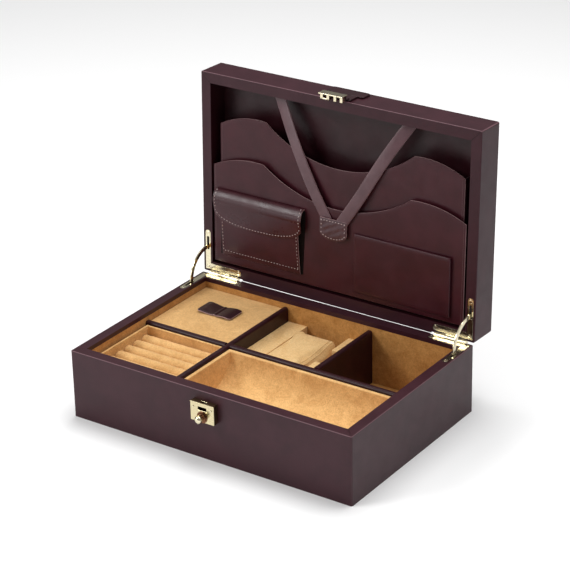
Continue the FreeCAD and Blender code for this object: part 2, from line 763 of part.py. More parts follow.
def pocket_edging(half, peak, depth, back):
    """The gusset that closes a pocket's two sides and its bottom."""
    leather = val("leather")
    low = val("pocket_bottom")
    top = peak - val("lobe_drop")
    start = depth + leather
    height = back - start
    pieces = [
        Part.makeBox(leather, top - low, height, lid_point(-half, top, start)),
        Part.makeBox(leather, top - low, height, lid_point(half - leather, top, start)),
        Part.makeBox(2 * half, leather, height, lid_point(-half, low + leather, start)),
    ]
    return pieces[0].fuse(pieces[1:]).removeSplitter()


back_half, back_peak, back_depth = val("back_pocket_half"), val("back_pocket_peak"), val("back_pocket_depth")
front_half, front_peak = val("front_pocket_half"), val("front_pocket_peak")
front_depth = val("front_pocket_depth")
back_front = pocket_front(back_half, back_peak, val("back_pocket_dip"), back_depth)
node("back_pocket", shaped("back_pocket_front", back_front), True)
back_edging = pocket_edging(back_half, back_peak, back_depth, val("lid_floor"))
node("back_pocket_gusset", shaped("back_pocket_edging", back_edging), True)
front_front = pocket_front(front_half, front_peak, val("front_pocket_dip"), front_depth)
node("front_pocket", shaped("front_pocket_front", front_front), True)
front_edging = pocket_edging(back_half - 0.4, front_peak, front_depth, back_depth)
node("front_pocket_gusset", shaped("front_pocket_edging", front_edging), True)

# pouch on the left of the front pocket: a wedge-shaped leather purse with a rounded flap
pouch_left, pouch_right = val("pouch_left"), val("pouch_right")
pouch_low, pouch_high = val("pouch_bottom"), val("pouch_top")


def pouch_wedge(inset, stand, high):
    """A prism over the front pocket, thin at its bottom and thick at its top."""
    left, right = pouch_left + inset, pouch_right - inset
    low = pouch_low + inset
    thin = 1.6 if inset == 0 else 0.2
    corners = [
        lid_point(left, low, front_depth),
        lid_point(left, low, front_depth - thin),
        lid_point(left, high, front_depth - stand),
        lid_point(left, high, front_depth),
    ]
    return Part.Face(Part.makePolygon(corners + corners[:1])).extrude(Vector(right - left, 0, 0))


pouch_stand = val("pouch_stand") - val("flap_thick") - 0.3
pouch = pouch_wedge(0, pouch_stand, pouch_high - 2)
pouch_room = pouch_wedge(1.2, pouch_stand - 1.3, pouch_high + 5)
node("pouch", shaped("pouch_body", pouch.cut(pouch_room)), True)


def pouch_flap():
    """The flap: over the pouch's top, down its front, with a rounded lower edge."""
    left, right = pouch_left - 1, pouch_right + 1
    middle = (left + right) / 2
    side, dip, thick = val("flap_side"), val("flap_dip"), val("flap_thick")
    outer = front_depth - val("pouch_stand")
    top = pouch_high

    def at(x, rise):
        return lid_point(x, rise, outer)

    corner = (right - left) / 2 * 0.72
    low_left, low_right = at(middle - corner, side - dip * 0.66), at(middle + corner, side - dip * 0.66)
    edge = [
        Part.makeLine(at(left, top), at(right, top)),
        Part.makeLine(at(right, top), at(right, side)),
        Part.Arc(at(right, side), low_right, at(middle, side - dip)).toShape(),
        Part.Arc(at(middle, side - dip), low_left, at(left, side)).toShape(),
        Part.makeLine(at(left, side), at(left, top)),
    ]
    front = Part.Face(Part.Wire(edge)).extrude(Vector(0, 0, thick))
    roof_depth = val("pouch_stand") - 0.2
    roof = Part.makeBox(right - left, thick, roof_depth, lid_point(left, top + thick, outer))
    return front.fuse(roof).removeSplitter()


node("pouch_flap", shaped("pouch_flap_leather", pouch_flap()), True)

# flat leather-covered panel on the right of the front pocket
panel_block = block(
    "panel_block",
    ("panel_left", "panel_right"),
    (along("panel_top"), along("panel_bottom")),
    (up("front_pocket_depth - panel_thick"), up("front_pocket_depth")),
)
node("slip_panel", group("slip_panel_group", panel_block), True)


# V-shaped retaining strap with its stitched shield
def strap_arm(side, lift):
    """A strap from the top of the lid down to the shield: two flat stretches that bend over the pockets."""
    top_x, foot_x = side * val("strap_top_half"), side * 9.5
    top_rise, foot_rise = val("strap_top_rise"), val("shield_top") - 4
    bend_rise = val("strap_bend_rise")
    bend_x = foot_x + (top_x - foot_x) * (bend_rise - foot_rise) / (top_rise - foot_rise)
    lean = math.atan2(abs(top_x - foot_x), top_rise - foot_rise)
    half = val("strap_width") / 2 / math.cos(lean)
    rows = [
        (top_x, top_rise, val("strap_top_depth")),
        (bend_x, bend_rise, val("back_pocket_depth") - 0.8),
        (foot_x, foot_rise, -1.2 - lift),
    ]
    stretches = []
    for (x_up, rise_up, depth_up), (x_low, rise_low, depth_low) in zip(rows, rows[1:]):
        corners = [
            lid_point(x_up - half, rise_up, depth_up),
            lid_point(x_low - half, rise_low, depth_low),
            lid_point(x_low + half, rise_low, depth_low),
            lid_point(x_up + half, rise_up, depth_up),
        ]
        face = Part.Face(Part.makePolygon(corners + corners[:1]))
        stretches.append(face.extrude(Vector(0, 0, -val("strap_thick"))))
    return stretches[0].fuse(stretches[1])


def shield_shape(depth, thickness):
    """A leather shield: straight top, straight sides and a round bottom."""
    half, top, side = val("shield_half"), val("shield_top"), val("shield_side")

    def at(x, rise):
        return lid_point(x, rise, depth)

    edge = [
        Part.makeLine(at(-half, top), at(half, top)),
        Part.makeLine(at(half, top), at(half, side)),
        Part.Arc(at(half, side), at(0, side - val("shield_sag")), at(-half, side)).toShape(),
        Part.makeLine(at(-half, side), at(-half, top)),
    ]
    return Part.Face(Part.Wire(edge)).extrude(Vector(0, 0, thickness))


shield = shield_shape(front_depth - val("shield_stand"), val("shield_thick"))
left_arm = strap_arm(-1, 0).cut(shield)
right_arm = strap_arm(1, val("strap_thick") + 0.1).cut(shield).cut(strap_arm(-1, 0))
node("strap_left", shaped("strap_left_leather", left_arm), True)
node("strap_right", shaped("strap_right_leather", right_arm), True)
node("strap_shield", shaped("strap_shield_leather", shield), True)

# --- hinges, stays ------------------------------------------------------------------------------------
for side, word in ((-1, "left"), (1, "right")):
    node("base_hinge_leaf_" + word, shaped("base_leaf_" + word, leaf(side, False)))
    node("lid_hinge_leaf_" + word, shaped("lid_leaf_" + word, leaf(side, True)), True)
    node("stay_" + word, shaped("stay_arc_" + word, stay(side)))
spans = knuckle_spans()
pin_length = spans[2][1] - spans[0][0]
pins = [
    rod("pin_%d" % (n + 1), "pin_radius", "x", (str(start), HINGE_Y, HINGE_Z), str(pin_length))
    for n, start in enumerate((-spans[2][1], spans[0][0]))
]
node("hinge_pins", group("hinge_pin_pair", *pins))
node("base_hinge_screws", shaped("base_screw_set", base_screws))
node("lid_hinge_screws", shaped("lid_screw_set", lid_screws), True)

# --- lock ---------------------------------------------------------------------------------------------
FACE_Y = "-(%s) - lock_depth" % OUT_Y
LOCK_LOW = "lock_top - lock_height"
AT_KNOB = ("0", "(%s) - 2" % FACE_Y, "knob_height")
lock_body = block("lock_body", both("lock_width / 2"), (FACE_Y, "-(%s)" % OUT_Y), (LOCK_LOW, "lock_top"))
lock_room = block(
    "lock_room",
    both("lock_width / 2 - lock_wall"),
    ("(%s) + lock_wall" % FACE_Y, "-(%s) + 1" % OUT_Y),
    ("(%s) + lock_wall" % LOCK_LOW, "lock_top - lock_wall"),
)
hasp_mouth = block(
    "hasp_mouth",
    both("mouth_half"),
    ("-(%s) - mouth_front" % OUT_Y, "-(%s) - mouth_back" % OUT_Y),
    ("lock_top - 2 * lock_wall", "lock_top + 1"),
)
window = block(
    "window",
    both("window_half"),
    ("(%s) - 1" % FACE_Y, "(%s) + 2 * lock_wall" % FACE_Y),
    ("window_low", "window_high"),
)
spindle_hole = rod("spindle_hole", "spindle_radius + 0.05", "y", AT_KNOB, "4")
node("lock_case", cut("lock_case_cut", lock_body, lock_room, hasp_mouth, window, spindle_hole))
ROSETTE_AT = ("0", "(%s) - rosette_thick" % FACE_Y, "knob_height")
rosette = rod("rosette_disc", "knob_radius + rosette_rim", "y", ROSETTE_AT, "rosette_thick")
rosette_hole = rod("rosette_hole", "spindle_radius + 0.05", "y", AT_KNOB, "4")
node("lock_rosette", cut("lock_rosette_ring", rosette, rosette_hole))
KNOB_BACK = "(%s) - rosette_thick - plate_gap" % FACE_Y
KNOB_START = ("0", "(%s) - knob_length" % KNOB_BACK, "knob_height")
SPINDLE_START = ("0", "(%s) - 0.1" % KNOB_BACK, "knob_height")
knob = rod("knob_head", "knob_radius", "y", KNOB_START, "knob_length")
spindle = rod("spindle", "spindle_radius", "y", SPINDLE_START, "lock_depth - 2")
wings = block(
    "knob_wings",
    both("wing_half"),
    ("(%s) - wing_high" % FACE_Y, "(%s) - wing_low" % FACE_Y),
    ("knob_height - wing_reach", "knob_height + wing_reach"),
)
node("lock_knob", fuse("lock_knob_fused", knob, spindle, wings))
RIVET_Y = "(%s) - rivet_stand" % FACE_Y
rivets = [
    rod("lock_rivet_" + word, "rivet_radius", "y", (offset, RIVET_Y, "rivet_height"), "rivet_stand")
    for word, offset in (("left", "-rivet_offset"), ("right", "rivet_offset"))
]
node("lock_rivets", group("lock_rivet_pair", *rivets))

# --- hasp on the lid's front --------------------------------------------------------------------------
HASP_OUT = "-(%s) - hasp_stand" % OUT_Y
HASP_LOW = up("-hasp_reach")
hasp_plate = block(
    "hasp_plate",
    both("hasp_width / 2"),
    ("(%s) - hasp_thick" % HASP_OUT, HASP_OUT),
    (HASP_LOW, up("hasp_depth - hasp_reach")),
)
LEG_Y = (HASP_OUT, "-(%s) - leg_foot" % OUT_Y)
LEG_Z = (up("leg_low - hasp_reach"), up("leg_high - hasp_reach"))
LEG_CENTRES = {
    "outer_left": "-leg_outer",
    "inner_left": "-leg_inner",
    "inner_right": "leg_inner",
    "outer_right": "leg_outer",
}
hasp_legs = [
    block("hasp_leg_" + word, ("%s - leg_half" % centre, "%s + leg_half" % centre), LEG_Y, LEG_Z)
    for word, centre in LEG_CENTRES.items()
]
node("hasp", group("hasp_group", fuse("hasp_metal", hasp_plate, *hasp_legs)), True)
TONGUE_OUT = "-(%s) - tongue_back" % OUT_Y
FOLD = (up("-tongue_fold"), up("tongue_thick - tongue_fold"))
tongue_flat = block(
    "tongue_flat",
    both("tongue_half"),
    (TONGUE_OUT, "-(%s) - tongue_gap" % OUT_Y),
    (up("tongue_low"), up("tongue_end")),
)
tongue_riser = block("tongue_riser", both("tongue_neck_half"), (HASP_OUT, TONGUE_OUT), FOLD)
tongue_neck = block(
    "tongue_neck",
    both("tongue_neck_half"),
    ("(%s) - tongue_thick" % TONGUE_OUT, TONGUE_OUT),
    (up("-tongue_fold"), up("tongue_low + tongue_thick")),
)
node("hasp_tongue", fuse("hasp_tongue_fused", tongue_flat, tongue_riser, tongue_neck), True)
ROOT_TALL = (up("root_low"), up("root_end"))
root = block("hasp_root_block", both("root_half"), (TONGUE_OUT, "-(%s)" % OUT_Y), ROOT_TALL)
node("hasp_root", rounded("hasp_root_round", root, 3.0, runs_along(AXIS_Y)), True)

# --- check and write ----------------------------------------------------------------------------------
doc.recompute()
faults = []
for item in doc.Objects:
    if any(word in item.State for word in ("Invalid", "Error")):
        faults.append("%s is %s" % (item.Name, item.State))
for item in NODES:
    if item.Shape.isNull() or not item.Shape.isValid():
        faults.append("%s has no valid shape" % item.Label)
if faults:
    raise RuntimeError("; ".join(faults))

os.makedirs("parts", exist_ok=True)
for item in NODES:
    item.Shape.exportStep(os.path.join("parts", item.Label + ".step"))
    box = item.Shape.BoundBox
    print(
        "%-22s %10.0f mm3  solids %d  x %.1f..%.1f  y %.1f..%.1f  z %.1f..%.1f"
        % (
            item.Label,
            item.Shape.Volume,
            len(item.Shape.Solids),
            box.XMin,
            box.XMax,
            box.YMin,
            box.YMax,
            box.ZMin,
            box.ZMax,
        )
    )
print(len(NODES), "nodes")
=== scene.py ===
"""Leather jewellery case: finished leather, suede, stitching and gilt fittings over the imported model."""

import json
import math

import bmesh
import bpy
from mathutils import Matrix, Vector
from mathutils.bvhtree import BVHTree


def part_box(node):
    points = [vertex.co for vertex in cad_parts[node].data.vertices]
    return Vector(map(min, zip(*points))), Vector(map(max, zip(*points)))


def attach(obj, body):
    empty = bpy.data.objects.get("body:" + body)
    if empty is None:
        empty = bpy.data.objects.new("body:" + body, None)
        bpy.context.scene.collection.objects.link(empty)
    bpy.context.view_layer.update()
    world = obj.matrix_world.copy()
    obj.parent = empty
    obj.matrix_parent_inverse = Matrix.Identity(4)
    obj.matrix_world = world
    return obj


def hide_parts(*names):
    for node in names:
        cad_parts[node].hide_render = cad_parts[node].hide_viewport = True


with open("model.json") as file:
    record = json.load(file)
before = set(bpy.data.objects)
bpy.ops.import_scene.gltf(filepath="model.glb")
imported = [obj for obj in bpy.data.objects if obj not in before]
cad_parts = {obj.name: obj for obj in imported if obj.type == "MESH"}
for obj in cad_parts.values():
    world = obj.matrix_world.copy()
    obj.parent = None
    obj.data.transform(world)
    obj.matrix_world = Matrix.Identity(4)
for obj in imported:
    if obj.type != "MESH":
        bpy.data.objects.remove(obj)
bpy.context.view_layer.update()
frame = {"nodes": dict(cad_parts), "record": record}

MM = 0.001

# --- the lid's own coordinates ------------------------------------------------------------------------
CASE_WIDTH = 360.0
CASE_DEPTH = 241.0
RIM = 80.3
HINGE_Y = 121.9
HINGE_Z = 79.7
OPEN = math.radians(92.0)


def lid_at(x, rise, depth):
    """A point of the open lid, in metres: across, up from its hinge side, and deeper than its rim (mm)."""
    dy = CASE_DEPTH / 2 - rise - HINGE_Y
    dz = RIM + depth - HINGE_Z
    y = HINGE_Y + dy * math.cos(OPEN) + dz * math.sin(OPEN)
    z = HINGE_Z - dy * math.sin(OPEN) + dz * math.cos(OPEN)
    return Vector((x, y, z)) * MM


def base_at(x, y, z):
    """A point of the base, in metres, from millimetres."""
    return Vector((x, y, z)) * MM


# --- node helpers -------------------------------------------------------------------------------------
class Nodes:
    """Short calls for building a node tree."""

    def __init__(self, tree):
        self.tree = tree

    def add(self, kind, **settings):
        made = self.tree.nodes.new(kind)
        for name, value in settings.items():
            setattr(made, name, value)
        return made

    def join(self, source, target):
        self.tree.links.new(source, target)

    def feed(self, target, value):
        """Puts a number, a colour or another node's output into a socket."""
        if isinstance(value, bpy.types.NodeSocket):
            self.join(value, target)
        else:
            target.default_value = value

    def maths(self, operation, *values, clamp=False):
        made = self.add("ShaderNodeMath", operation=operation, use_clamp=clamp)
        for socket, value in zip(made.inputs, values):
            self.feed(socket, value)
        return made.outputs[0]

    def noise(self, vector, scale, detail=3.0, roughness=0.5, distortion=0.0):
        made = self.add("ShaderNodeTexNoise")
        self.join(vector, made.inputs["Vector"])
        given = {"Scale": scale, "Detail": detail, "Roughness": roughness, "Distortion": distortion}
        for name, value in given.items():
            self.feed(made.inputs[name], value)
        return made.outputs["Fac"]

    def spread(self, value, low, high, to_low=0.0, to_high=1.0):
        """Maps a range smoothly onto another and holds it there."""
        made = self.add("ShaderNodeMapRange", interpolation_type="SMOOTHSTEP")
        for socket, entry in zip(made.inputs, (value, low, high, to_low, to_high)):
            self.feed(socket, entry)
        return made.outputs[0]

    def blend(self, share, first, second):
        """A colour between two, by a share."""
        made = self.add("ShaderNodeMix", data_type="RGBA")
        self.feed(made.inputs["Factor"], share)
        self.feed(made.inputs["A"], first)
        self.feed(made.inputs["B"], second)
        return made.outputs["Result"]


def empty_tree(name, family, ins, outs):
    """An empty tree with named sockets. Returns the tree, its helper, its inputs and its outputs."""
    tree = bpy.data.node_groups.new(name, family)
    for label, kind, value in ins:
        made = tree.interface.new_socket(name=label, in_out="INPUT", socket_type="NodeSocket" + kind)
        if value is not None:
            made.default_value = value
    for label, kind in outs:
        tree.interface.new_socket(name=label, in_out="OUTPUT", socket_type="NodeSocket" + kind)
    given = tree.nodes.new("NodeGroupInput").outputs
    made = tree.nodes.new("NodeGroupOutput").inputs
    return tree, Nodes(tree), given, made


def shader_group(name, ins, *labels):
    """An empty shader node group that puts out plain values."""
    return empty_tree(name, "ShaderNodeTree", ins, [(label, "Float") for label in labels])


# --- shared effects -----------------------------------------------------------------------------------
def build_leather_grain():
    """Fine calf grain: small pebbles, pores and soft rolling of the hide."""
    ins = [
        ("Vector", "Vector", None),
        ("Pebble Scale", "Float", 1400.0),
        ("Roll", "Float", 0.5),
    ]
    tree, n, given, made = shader_group("leather_grain", ins, "Height", "Tone", "Polish")
    warp = n.noise(given["Vector"], 180.0, 2.0)
    shift = n.add("ShaderNodeVectorMath", operation="MULTIPLY_ADD")
    n.join(warp, shift.inputs[0])
    shift.inputs[1].default_value = (0.002, 0.002, 0.002)
    n.join(given["Vector"], shift.inputs[2])
    cells = n.add("ShaderNodeTexVoronoi", feature="SMOOTH_F1")
    n.join(shift.outputs[0], cells.inputs["Vector"])
    n.join(given["Pebble Scale"], cells.inputs["Scale"])
    pebble = n.maths("SUBTRACT", 1.0, cells.outputs["Distance"])
    pores = n.spread(n.noise(given["Vector"], 2600.0, 1.0), 0.30, 0.46)
    rolling = n.noise(given["Vector"], 26.0, 2.0)
    fine = n.maths("MULTIPLY", pebble, n.spread(n.noise(given["Vector"], 90.0, 2.0), 0.3, 0.7, 0.5, 1.0))
    height = n.maths("MULTIPLY_ADD", fine, 0.5, n.maths("MULTIPLY", pores, 0.14))
    height = n.maths("MULTIPLY_ADD", n.maths("MULTIPLY", rolling, given["Roll"]), 6.0, height)
    n.join(height, made["Height"])
    mottle = n.noise(given["Vector"], 38.0, 5.0, 0.62)
    broad = n.noise(given["Vector"], 7.0, 2.0)
    tone = n.maths("MULTIPLY_ADD", mottle, 0.75, n.maths("MULTIPLY", broad, 0.25))
    n.join(n.spread(tone, 0.34, 0.66), made["Tone"])
    n.join(n.spread(n.noise(given["Vector"], 60.0, 4.0), 0.3, 0.75), made["Polish"])
    return tree


def build_suede_nap():
    """Brushed suede: streaks and clouds where the nap lies differently, over a fine pile."""
    ins = [("Vector", "Vector", None), ("Cloud Scale", "Float", 42.0)]
    tree, n, given, made = shader_group("suede_nap", ins, "Height", "Lay", "Fleck")
    clouds = n.noise(given["Vector"], given["Cloud Scale"], 6.0, 0.68, 0.9)
    streaks = n.noise(given["Vector"], 160.0, 4.0, 0.6, 1.6)
    lay = n.maths("MULTIPLY_ADD", clouds, 0.62, n.maths("MULTIPLY", streaks, 0.38))
    n.join(n.spread(lay, 0.30, 0.66), made["Lay"])
    pile = n.noise(given["Vector"], 1500.0, 3.0, 0.7)
    n.join(n.spread(n.noise(given["Vector"], 700.0, 3.0, 0.7), 0.35, 0.7), made["Fleck"])
    n.join(n.maths("MULTIPLY_ADD", pile, 0.7, n.maths("MULTIPLY", streaks, 0.5)), made["Height"])
    return tree


def build_handling():
    """Polished metal seldom cleaned: faint rubs and a slightly uneven plating."""
    ins = [("Vector", "Vector", None)]
    tree, n, given, made = shader_group("plating_wear", ins, "Rub", "Height")
    stretch = n.add("ShaderNodeMapping")
    n.join(given["Vector"], stretch.inputs["Vector"])
    stretch.inputs["Scale"].default_value = (1.0, 6.0, 6.0)
    rubs = n.noise(stretch.outputs[0], 260.0, 4.0, 0.6)
    n.join(n.spread(rubs, 0.35, 0.75), made["Rub"])
    ripples = n.noise(given["Vector"], 320.0, 2.0)
    n.join(n.maths("MULTIPLY_ADD", ripples, 0.6, n.maths("MULTIPLY", rubs, 0.4)), made["Height"])
    return tree


def build_rim_folds():
    """Where the leather over a rim is folded at 45 degrees in each corner."""
    ins = [
        ("Vector", "Vector", None),
        ("Half Width", "Float", CASE_WIDTH / 2 * MM),
        ("Half Depth", "Float", CASE_DEPTH / 2 * MM),
        ("Rim", "Float", RIM * MM),
    ]
    tree, n, given, made = shader_group("rim_folds", ins, "Fold")
    parts = n.add("ShaderNodeSeparateXYZ")
    n.join(given["Vector"], parts.inputs[0])
    past_x = n.maths("SUBTRACT", n.maths("ABSOLUTE", parts.outputs["X"]), given["Half Width"])
    past_y = n.maths("SUBTRACT", n.maths("ABSOLUTE", parts.outputs["Y"]), given["Half Depth"])
    off = n.maths("ABSOLUTE", n.maths("SUBTRACT", past_x, past_y))
    line = n.spread(off, 0.0001, 0.0005, 1.0, 0.0)
    level = n.maths("ABSOLUTE", n.maths("SUBTRACT", parts.outputs["Z"], given["Rim"]))
    on_rim = n.spread(level, 0.0012, 0.0016, 1.0, 0.0)
    n.join(n.maths("MULTIPLY", line, on_rim), made["Fold"])
    return tree


def build_edge_highlight():
    """Painted highlight along rounded edges: strongest round an upward-facing rim, faint on an upright
    corner.
    """
    ins = [("Normal", "Vector", None), ("Upright Share", "Float", 0.1), ("Rim Share", "Float", 0.6)]
    tree, n, given, made = shader_group("edge_wear", ins, "Highlight")
    facing = n.add("ShaderNodeSeparateXYZ")
    n.join(given["Normal"], facing.inputs[0])
    across, along, up = (n.maths("ABSOLUTE", facing.outputs[axis]) for axis in "XYZ")
    squarest = n.maths("MAXIMUM", n.maths("MAXIMUM", across, along), up)
    rounding = n.spread(squarest, 0.80, 0.985, 1.0, 0.0)
    amount = n.maths("MULTIPLY_ADD", n.spread(up, 0.15, 0.35), given["Rim Share"], given["Upright Share"])
    n.join(n.maths("MULTIPLY", rounding, amount), made["Highlight"])
    return tree


LEATHER_GRAIN = build_leather_grain()
RIM_FOLDS = build_rim_folds()
EDGE_HIGHLIGHT = build_edge_highlight()
SUEDE_NAP = build_suede_nap()
PLATING_WEAR = build_handling()


def placed_group(n, group, vector, **values):
    """A shared effect placed in a material; its first input is a place or a direction."""
    made = n.add("ShaderNodeGroup", node_tree=group)
    n.join(vector, made.inputs[0])
    for name, value in values.items():
        n.feed(made.inputs[name.replace("_", " ")], value)
    return made.outputs


def new_material(name):
    """A material with its Principled BSDF, its tree and object coordinates."""
    material = bpy.data.materials.new(name)
    material.use_nodes = True
    n = Nodes(material.node_tree)
    surface = material.node_tree.nodes["Principled BSDF"]
    where = n.add("ShaderNodeTexCoord").outputs["Object"]
    return material, n, surface.inputs, where


def bumped(n, surface, height, distance, strength=1.0):
    bump = n.add("ShaderNodeBump")
    bump.inputs["Strength"].default_value = strength
    bump.inputs["Distance"].default_value = distance
    n.join(height, bump.inputs["Height"])
    n.join(bump.outputs["Normal"], surface["Normal"])


FOLD_DARK = (0.008, 0.003, 0.004, 1.0)
# painted highlight colour laid on rounded rim edges
PAINTED_EDGE_HIGHLIGHT = (0.24, 0.13, 0.15, 1.0)
GRAIN_DEEP = 0.0001
NAP_DEEP = 0.00022


def leather(name, dark, light, rough, shine, roll=0.5, mitre=None):
    """Plum-brown calf. mitre is 'base' or 'lid' where the rim's corners are folded at 45 degrees; there the
    rounded edges also get a painted highlight.
    """
    material, n, surface, where = new_material(name)
    out = placed_group(n, LEATHER_GRAIN, where, Roll=roll)
    colour = n.blend(out["Tone"], (*dark, 1.0), (*light, 1.0))
    height = out["Height"]
    if mitre:
        place = n.add("ShaderNodeMapping")
        n.join(where, place.inputs["Vector"])
        if mitre == "lid":
            turn = Matrix.Rotation(OPEN, 3, "X")
            hinge = Vector((0.0, HINGE_Y, HINGE_Z)) * MM
            place.inputs["Rotation"].default_value = (OPEN, 0.0, 0.0)
            place.inputs["Location"].default_value = hinge - turn @ hinge
        fold = placed_group(n, RIM_FOLDS, place.outputs[0])["Fold"]
        colour = n.blend(n.maths("MULTIPLY", fold, 0.75), colour, FOLD_DARK)
        height = n.maths("MULTIPLY_ADD", fold, -3.0, height)
        # painted highlight on the rounded edges, paler where they face up
        facing = n.add("ShaderNodeTexCoord").outputs["Normal"]
        painted_edge_light = placed_group(n, EDGE_HIGHLIGHT, facing)["Highlight"]
        colour = n.blend(painted_edge_light, colour, PAINTED_EDGE_HIGHLIGHT)
    n.join(colour, surface["Base Color"])
    n.join(n.spread(out["Polish"], 0.0, 1.0, *rough), surface["Roughness"])
    surface["Specular IOR Level"].default_value = shine
    bumped(n, surface, height, GRAIN_DEEP)
    return material


def suede(name, dark, light, cloud=42.0):
    """Brushed tan suede."""
    material, n, surface, where = new_material(name)
    out = placed_group(n, SUEDE_NAP, where, Cloud_Scale=cloud)
    colour = n.blend(out["Lay"], (*dark, 1.0), (*light, 1.0))
    flecked = n.blend(n.maths("MULTIPLY", out["Fleck"], 0.42), colour, (*[c * 0.62 for c in dark], 1.0))
    n.join(flecked, surface["Base Color"])
    surface["Roughness"].default_value = 0.92
    surface["Specular IOR Level"].default_value = 0.15
    surface["Sheen Weight"].default_value = 0.35
    surface["Sheen Roughness"].default_value = 0.45
    surface["Sheen Tint"].default_value = (1.0, 0.86, 0.62, 1.0)
    bumped(n, surface, out["Height"], NAP_DEEP)
    return material


def gilt(name, colour, rough):
    """Pale gold plating."""
    material, n, surface, where = new_material(name)
    out = placed_group(n, PLATING_WEAR, where)
    shade = n.blend(out["Rub"], (*colour, 1.0), (*[c * 0.78 for c in colour], 1.0))
    n.join(shade, surface["Base Color"])
    surface["Metallic"].default_value = 1.0
    n.join(n.spread(out["Rub"], 0.0, 1.0, rough, rough + 0.1), surface["Roughness"])
    bumped(n, surface, out["Height"], 0.00002)
    return material


def plain(name, colour, rough, grain_scale):
    """Thread, edge paint with a painted highlight, and board: one colour with a little unevenness."""
    material, n, surface, where = new_material(name)
    uneven = n.noise(where, grain_scale, 3.0, 0.6)
    n.join(n.blend(uneven, (*[c * 0.75 for c in colour], 1.0), (*colour, 1.0)), surface["Base Color"])
    surface["Roughness"].default_value = rough
    bumped(n, surface, uneven, 0.00005)
    return material


CASE_TONES = (0.030, 0.0058, 0.0105), (0.041, 0.0090, 0.0150)
INNER_TONES = (0.018, 0.0026, 0.0046), (0.027, 0.0045, 0.0075)
POCKET_TONES = (0.036, 0.0050, 0.0088), (0.051, 0.0085, 0.0140)
# painted light: the straps' leather is lighter than the same leather elsewhere, for where their tilted faces
# catch the overhead lamp
STRAP_LIT_TONES = (0.075, 0.028, 0.036), (0.110, 0.048, 0.058)
# painted shade: the pouch's side gussets are near black for the deep shade in their folds
GUSSET_SHADE_TONES = (0.003, 0.001, 0.0012), (0.006, 0.002, 0.0024)
SHIELD_TONES = (0.046, 0.014, 0.020), (0.066, 0.024, 0.031)
CASE_LEATHER = leather("case_leather", *CASE_TONES, (0.38, 0.43), 0.30, 0.03, "base")
LID_SKIN = leather("lid_skin_leather", *CASE_TONES, (0.38, 0.43), 0.24, 0.03, "lid")
INNER_LEATHER = leather("inner_leather", *INNER_TONES, (0.34, 0.44), 0.28)
POCKET_LEATHER = leather("pocket_leather", *POCKET_TONES, (0.30, 0.42), 0.26, 0.7)
FLAP_LEATHER = leather("flap_leather", *POCKET_TONES, (0.27, 0.36), 0.34, 0.6)
STRAP_LEATHER = leather("strap_leather", *STRAP_LIT_TONES, (0.32, 0.42), 0.5)
GUSSET_SHADED_LEATHER = leather("gusset_leather", *GUSSET_SHADE_TONES, (0.6, 0.7), 0.1)
SHIELD_LEATHER = leather("shield_leather", *SHIELD_TONES, (0.30, 0.42), 0.45)
SUEDE = suede("suede_tan", (0.60, 0.325, 0.115), (0.84, 0.52, 0.215))
SUEDE_PALE = suede("suede_tan_top", (0.60, 0.33, 0.118), (0.80, 0.49, 0.205), 30.0)
# painted shade: a darker copy of the suede for the lining walls and floor, which lie in shade
SUEDE_SHADED = suede("suede_tan_walls", (0.43, 0.185, 0.045), (0.65, 0.33, 0.098))
# painted light: a brighter copy of the suede for the watch pillow and ledges, making up for light the lid
# keeps from them
SUEDE_PAINTED_LIGHT = suede("suede_tan_pillow", (0.76, 0.45, 0.175), (0.93, 0.64, 0.31), 30.0)
GILT = gilt("gilt_fittings", (0.78, 0.70, 0.50), 0.15)
# painted shade and reflection: dark gilt for the lock's rosette and the knob's collar, standing for the dark
# leather they reflect
GILT_PAINTED_SHADE = gilt("gilt_shaded", (0.19, 0.085, 0.045), 0.2)
GILT_LOCK = gilt("gilt_lock", (0.70, 0.61, 0.38), 0.15)
# painted reflection: dark brown on the lock case's sides and top, for the dark leather they mirror
LOCK_SIDES_PAINTED_REFLECTION = gilt("lock_sides", (0.20, 0.12, 0.06), 0.3)
THREAD = plain("thread", (0.20, 0.12, 0.12), 0.6, 4000.0)
THREAD_PALE = plain("thread_pale", (0.66, 0.52, 0.50), 0.6, 4000.0)
# edge paint, lightened into a painted highlight along the cut edges
EDGE_PAINT_AND_HIGHLIGHT = plain("edge_paint", (0.44, 0.27, 0.27), 0.34, 900.0)
BOARD = plain("board", (0.03, 0.018, 0.014), 0.8, 600.0)

FINISH = {
    "case_leather": CASE_LEATHER,
    "lid_leather": INNER_LEATHER,
    "divider_leather": INNER_LEATHER,
    "suede": SUEDE,
    "board": BOARD,
    "gilt_metal": GILT,
}
# the lining walls and floor take the suede's painted-shade copy
OWN_FINISH = {"lid_leather": LID_SKIN, "wall_lining": SUEDE_SHADED, "floor_lining": SUEDE_SHADED}
for entry in frame["record"]["subparts"]:
    cad_node = frame["nodes"][entry["node"]]
    cad_node.data.materials.clear()
    cad_node.data.materials.append(OWN_FINISH.get(entry["node"], FINISH[entry["material_slot"]]))

# --- making pieces ------------------------------------------------------------------------------------
BODY_OF = {name: body for body, members in frame["record"]["behaviour"]["bodies"].items() for name in members}
HINGE = Vector((0.0, HINGE_Y, HINGE_Z)) * MM
SWUNG_OPEN = Matrix.Translation(HINGE) @ Matrix.Rotation(-OPEN, 4, "X") @ Matrix.Translation(-HINGE)


def linked(name, data):
    made = bpy.data.objects.new(name, data)
    bpy.context.scene.collection.objects.link(made)
    return made


def mesh_of(name, verts, faces, *finishes):
    """A linked mesh object from points in metres."""
    mesh = bpy.data.meshes.new(name)
    mesh.from_pydata([tuple(v) for v in verts], [], faces)
    for finish in finishes:
        mesh.materials.append(finish)
    return linked(name, mesh)


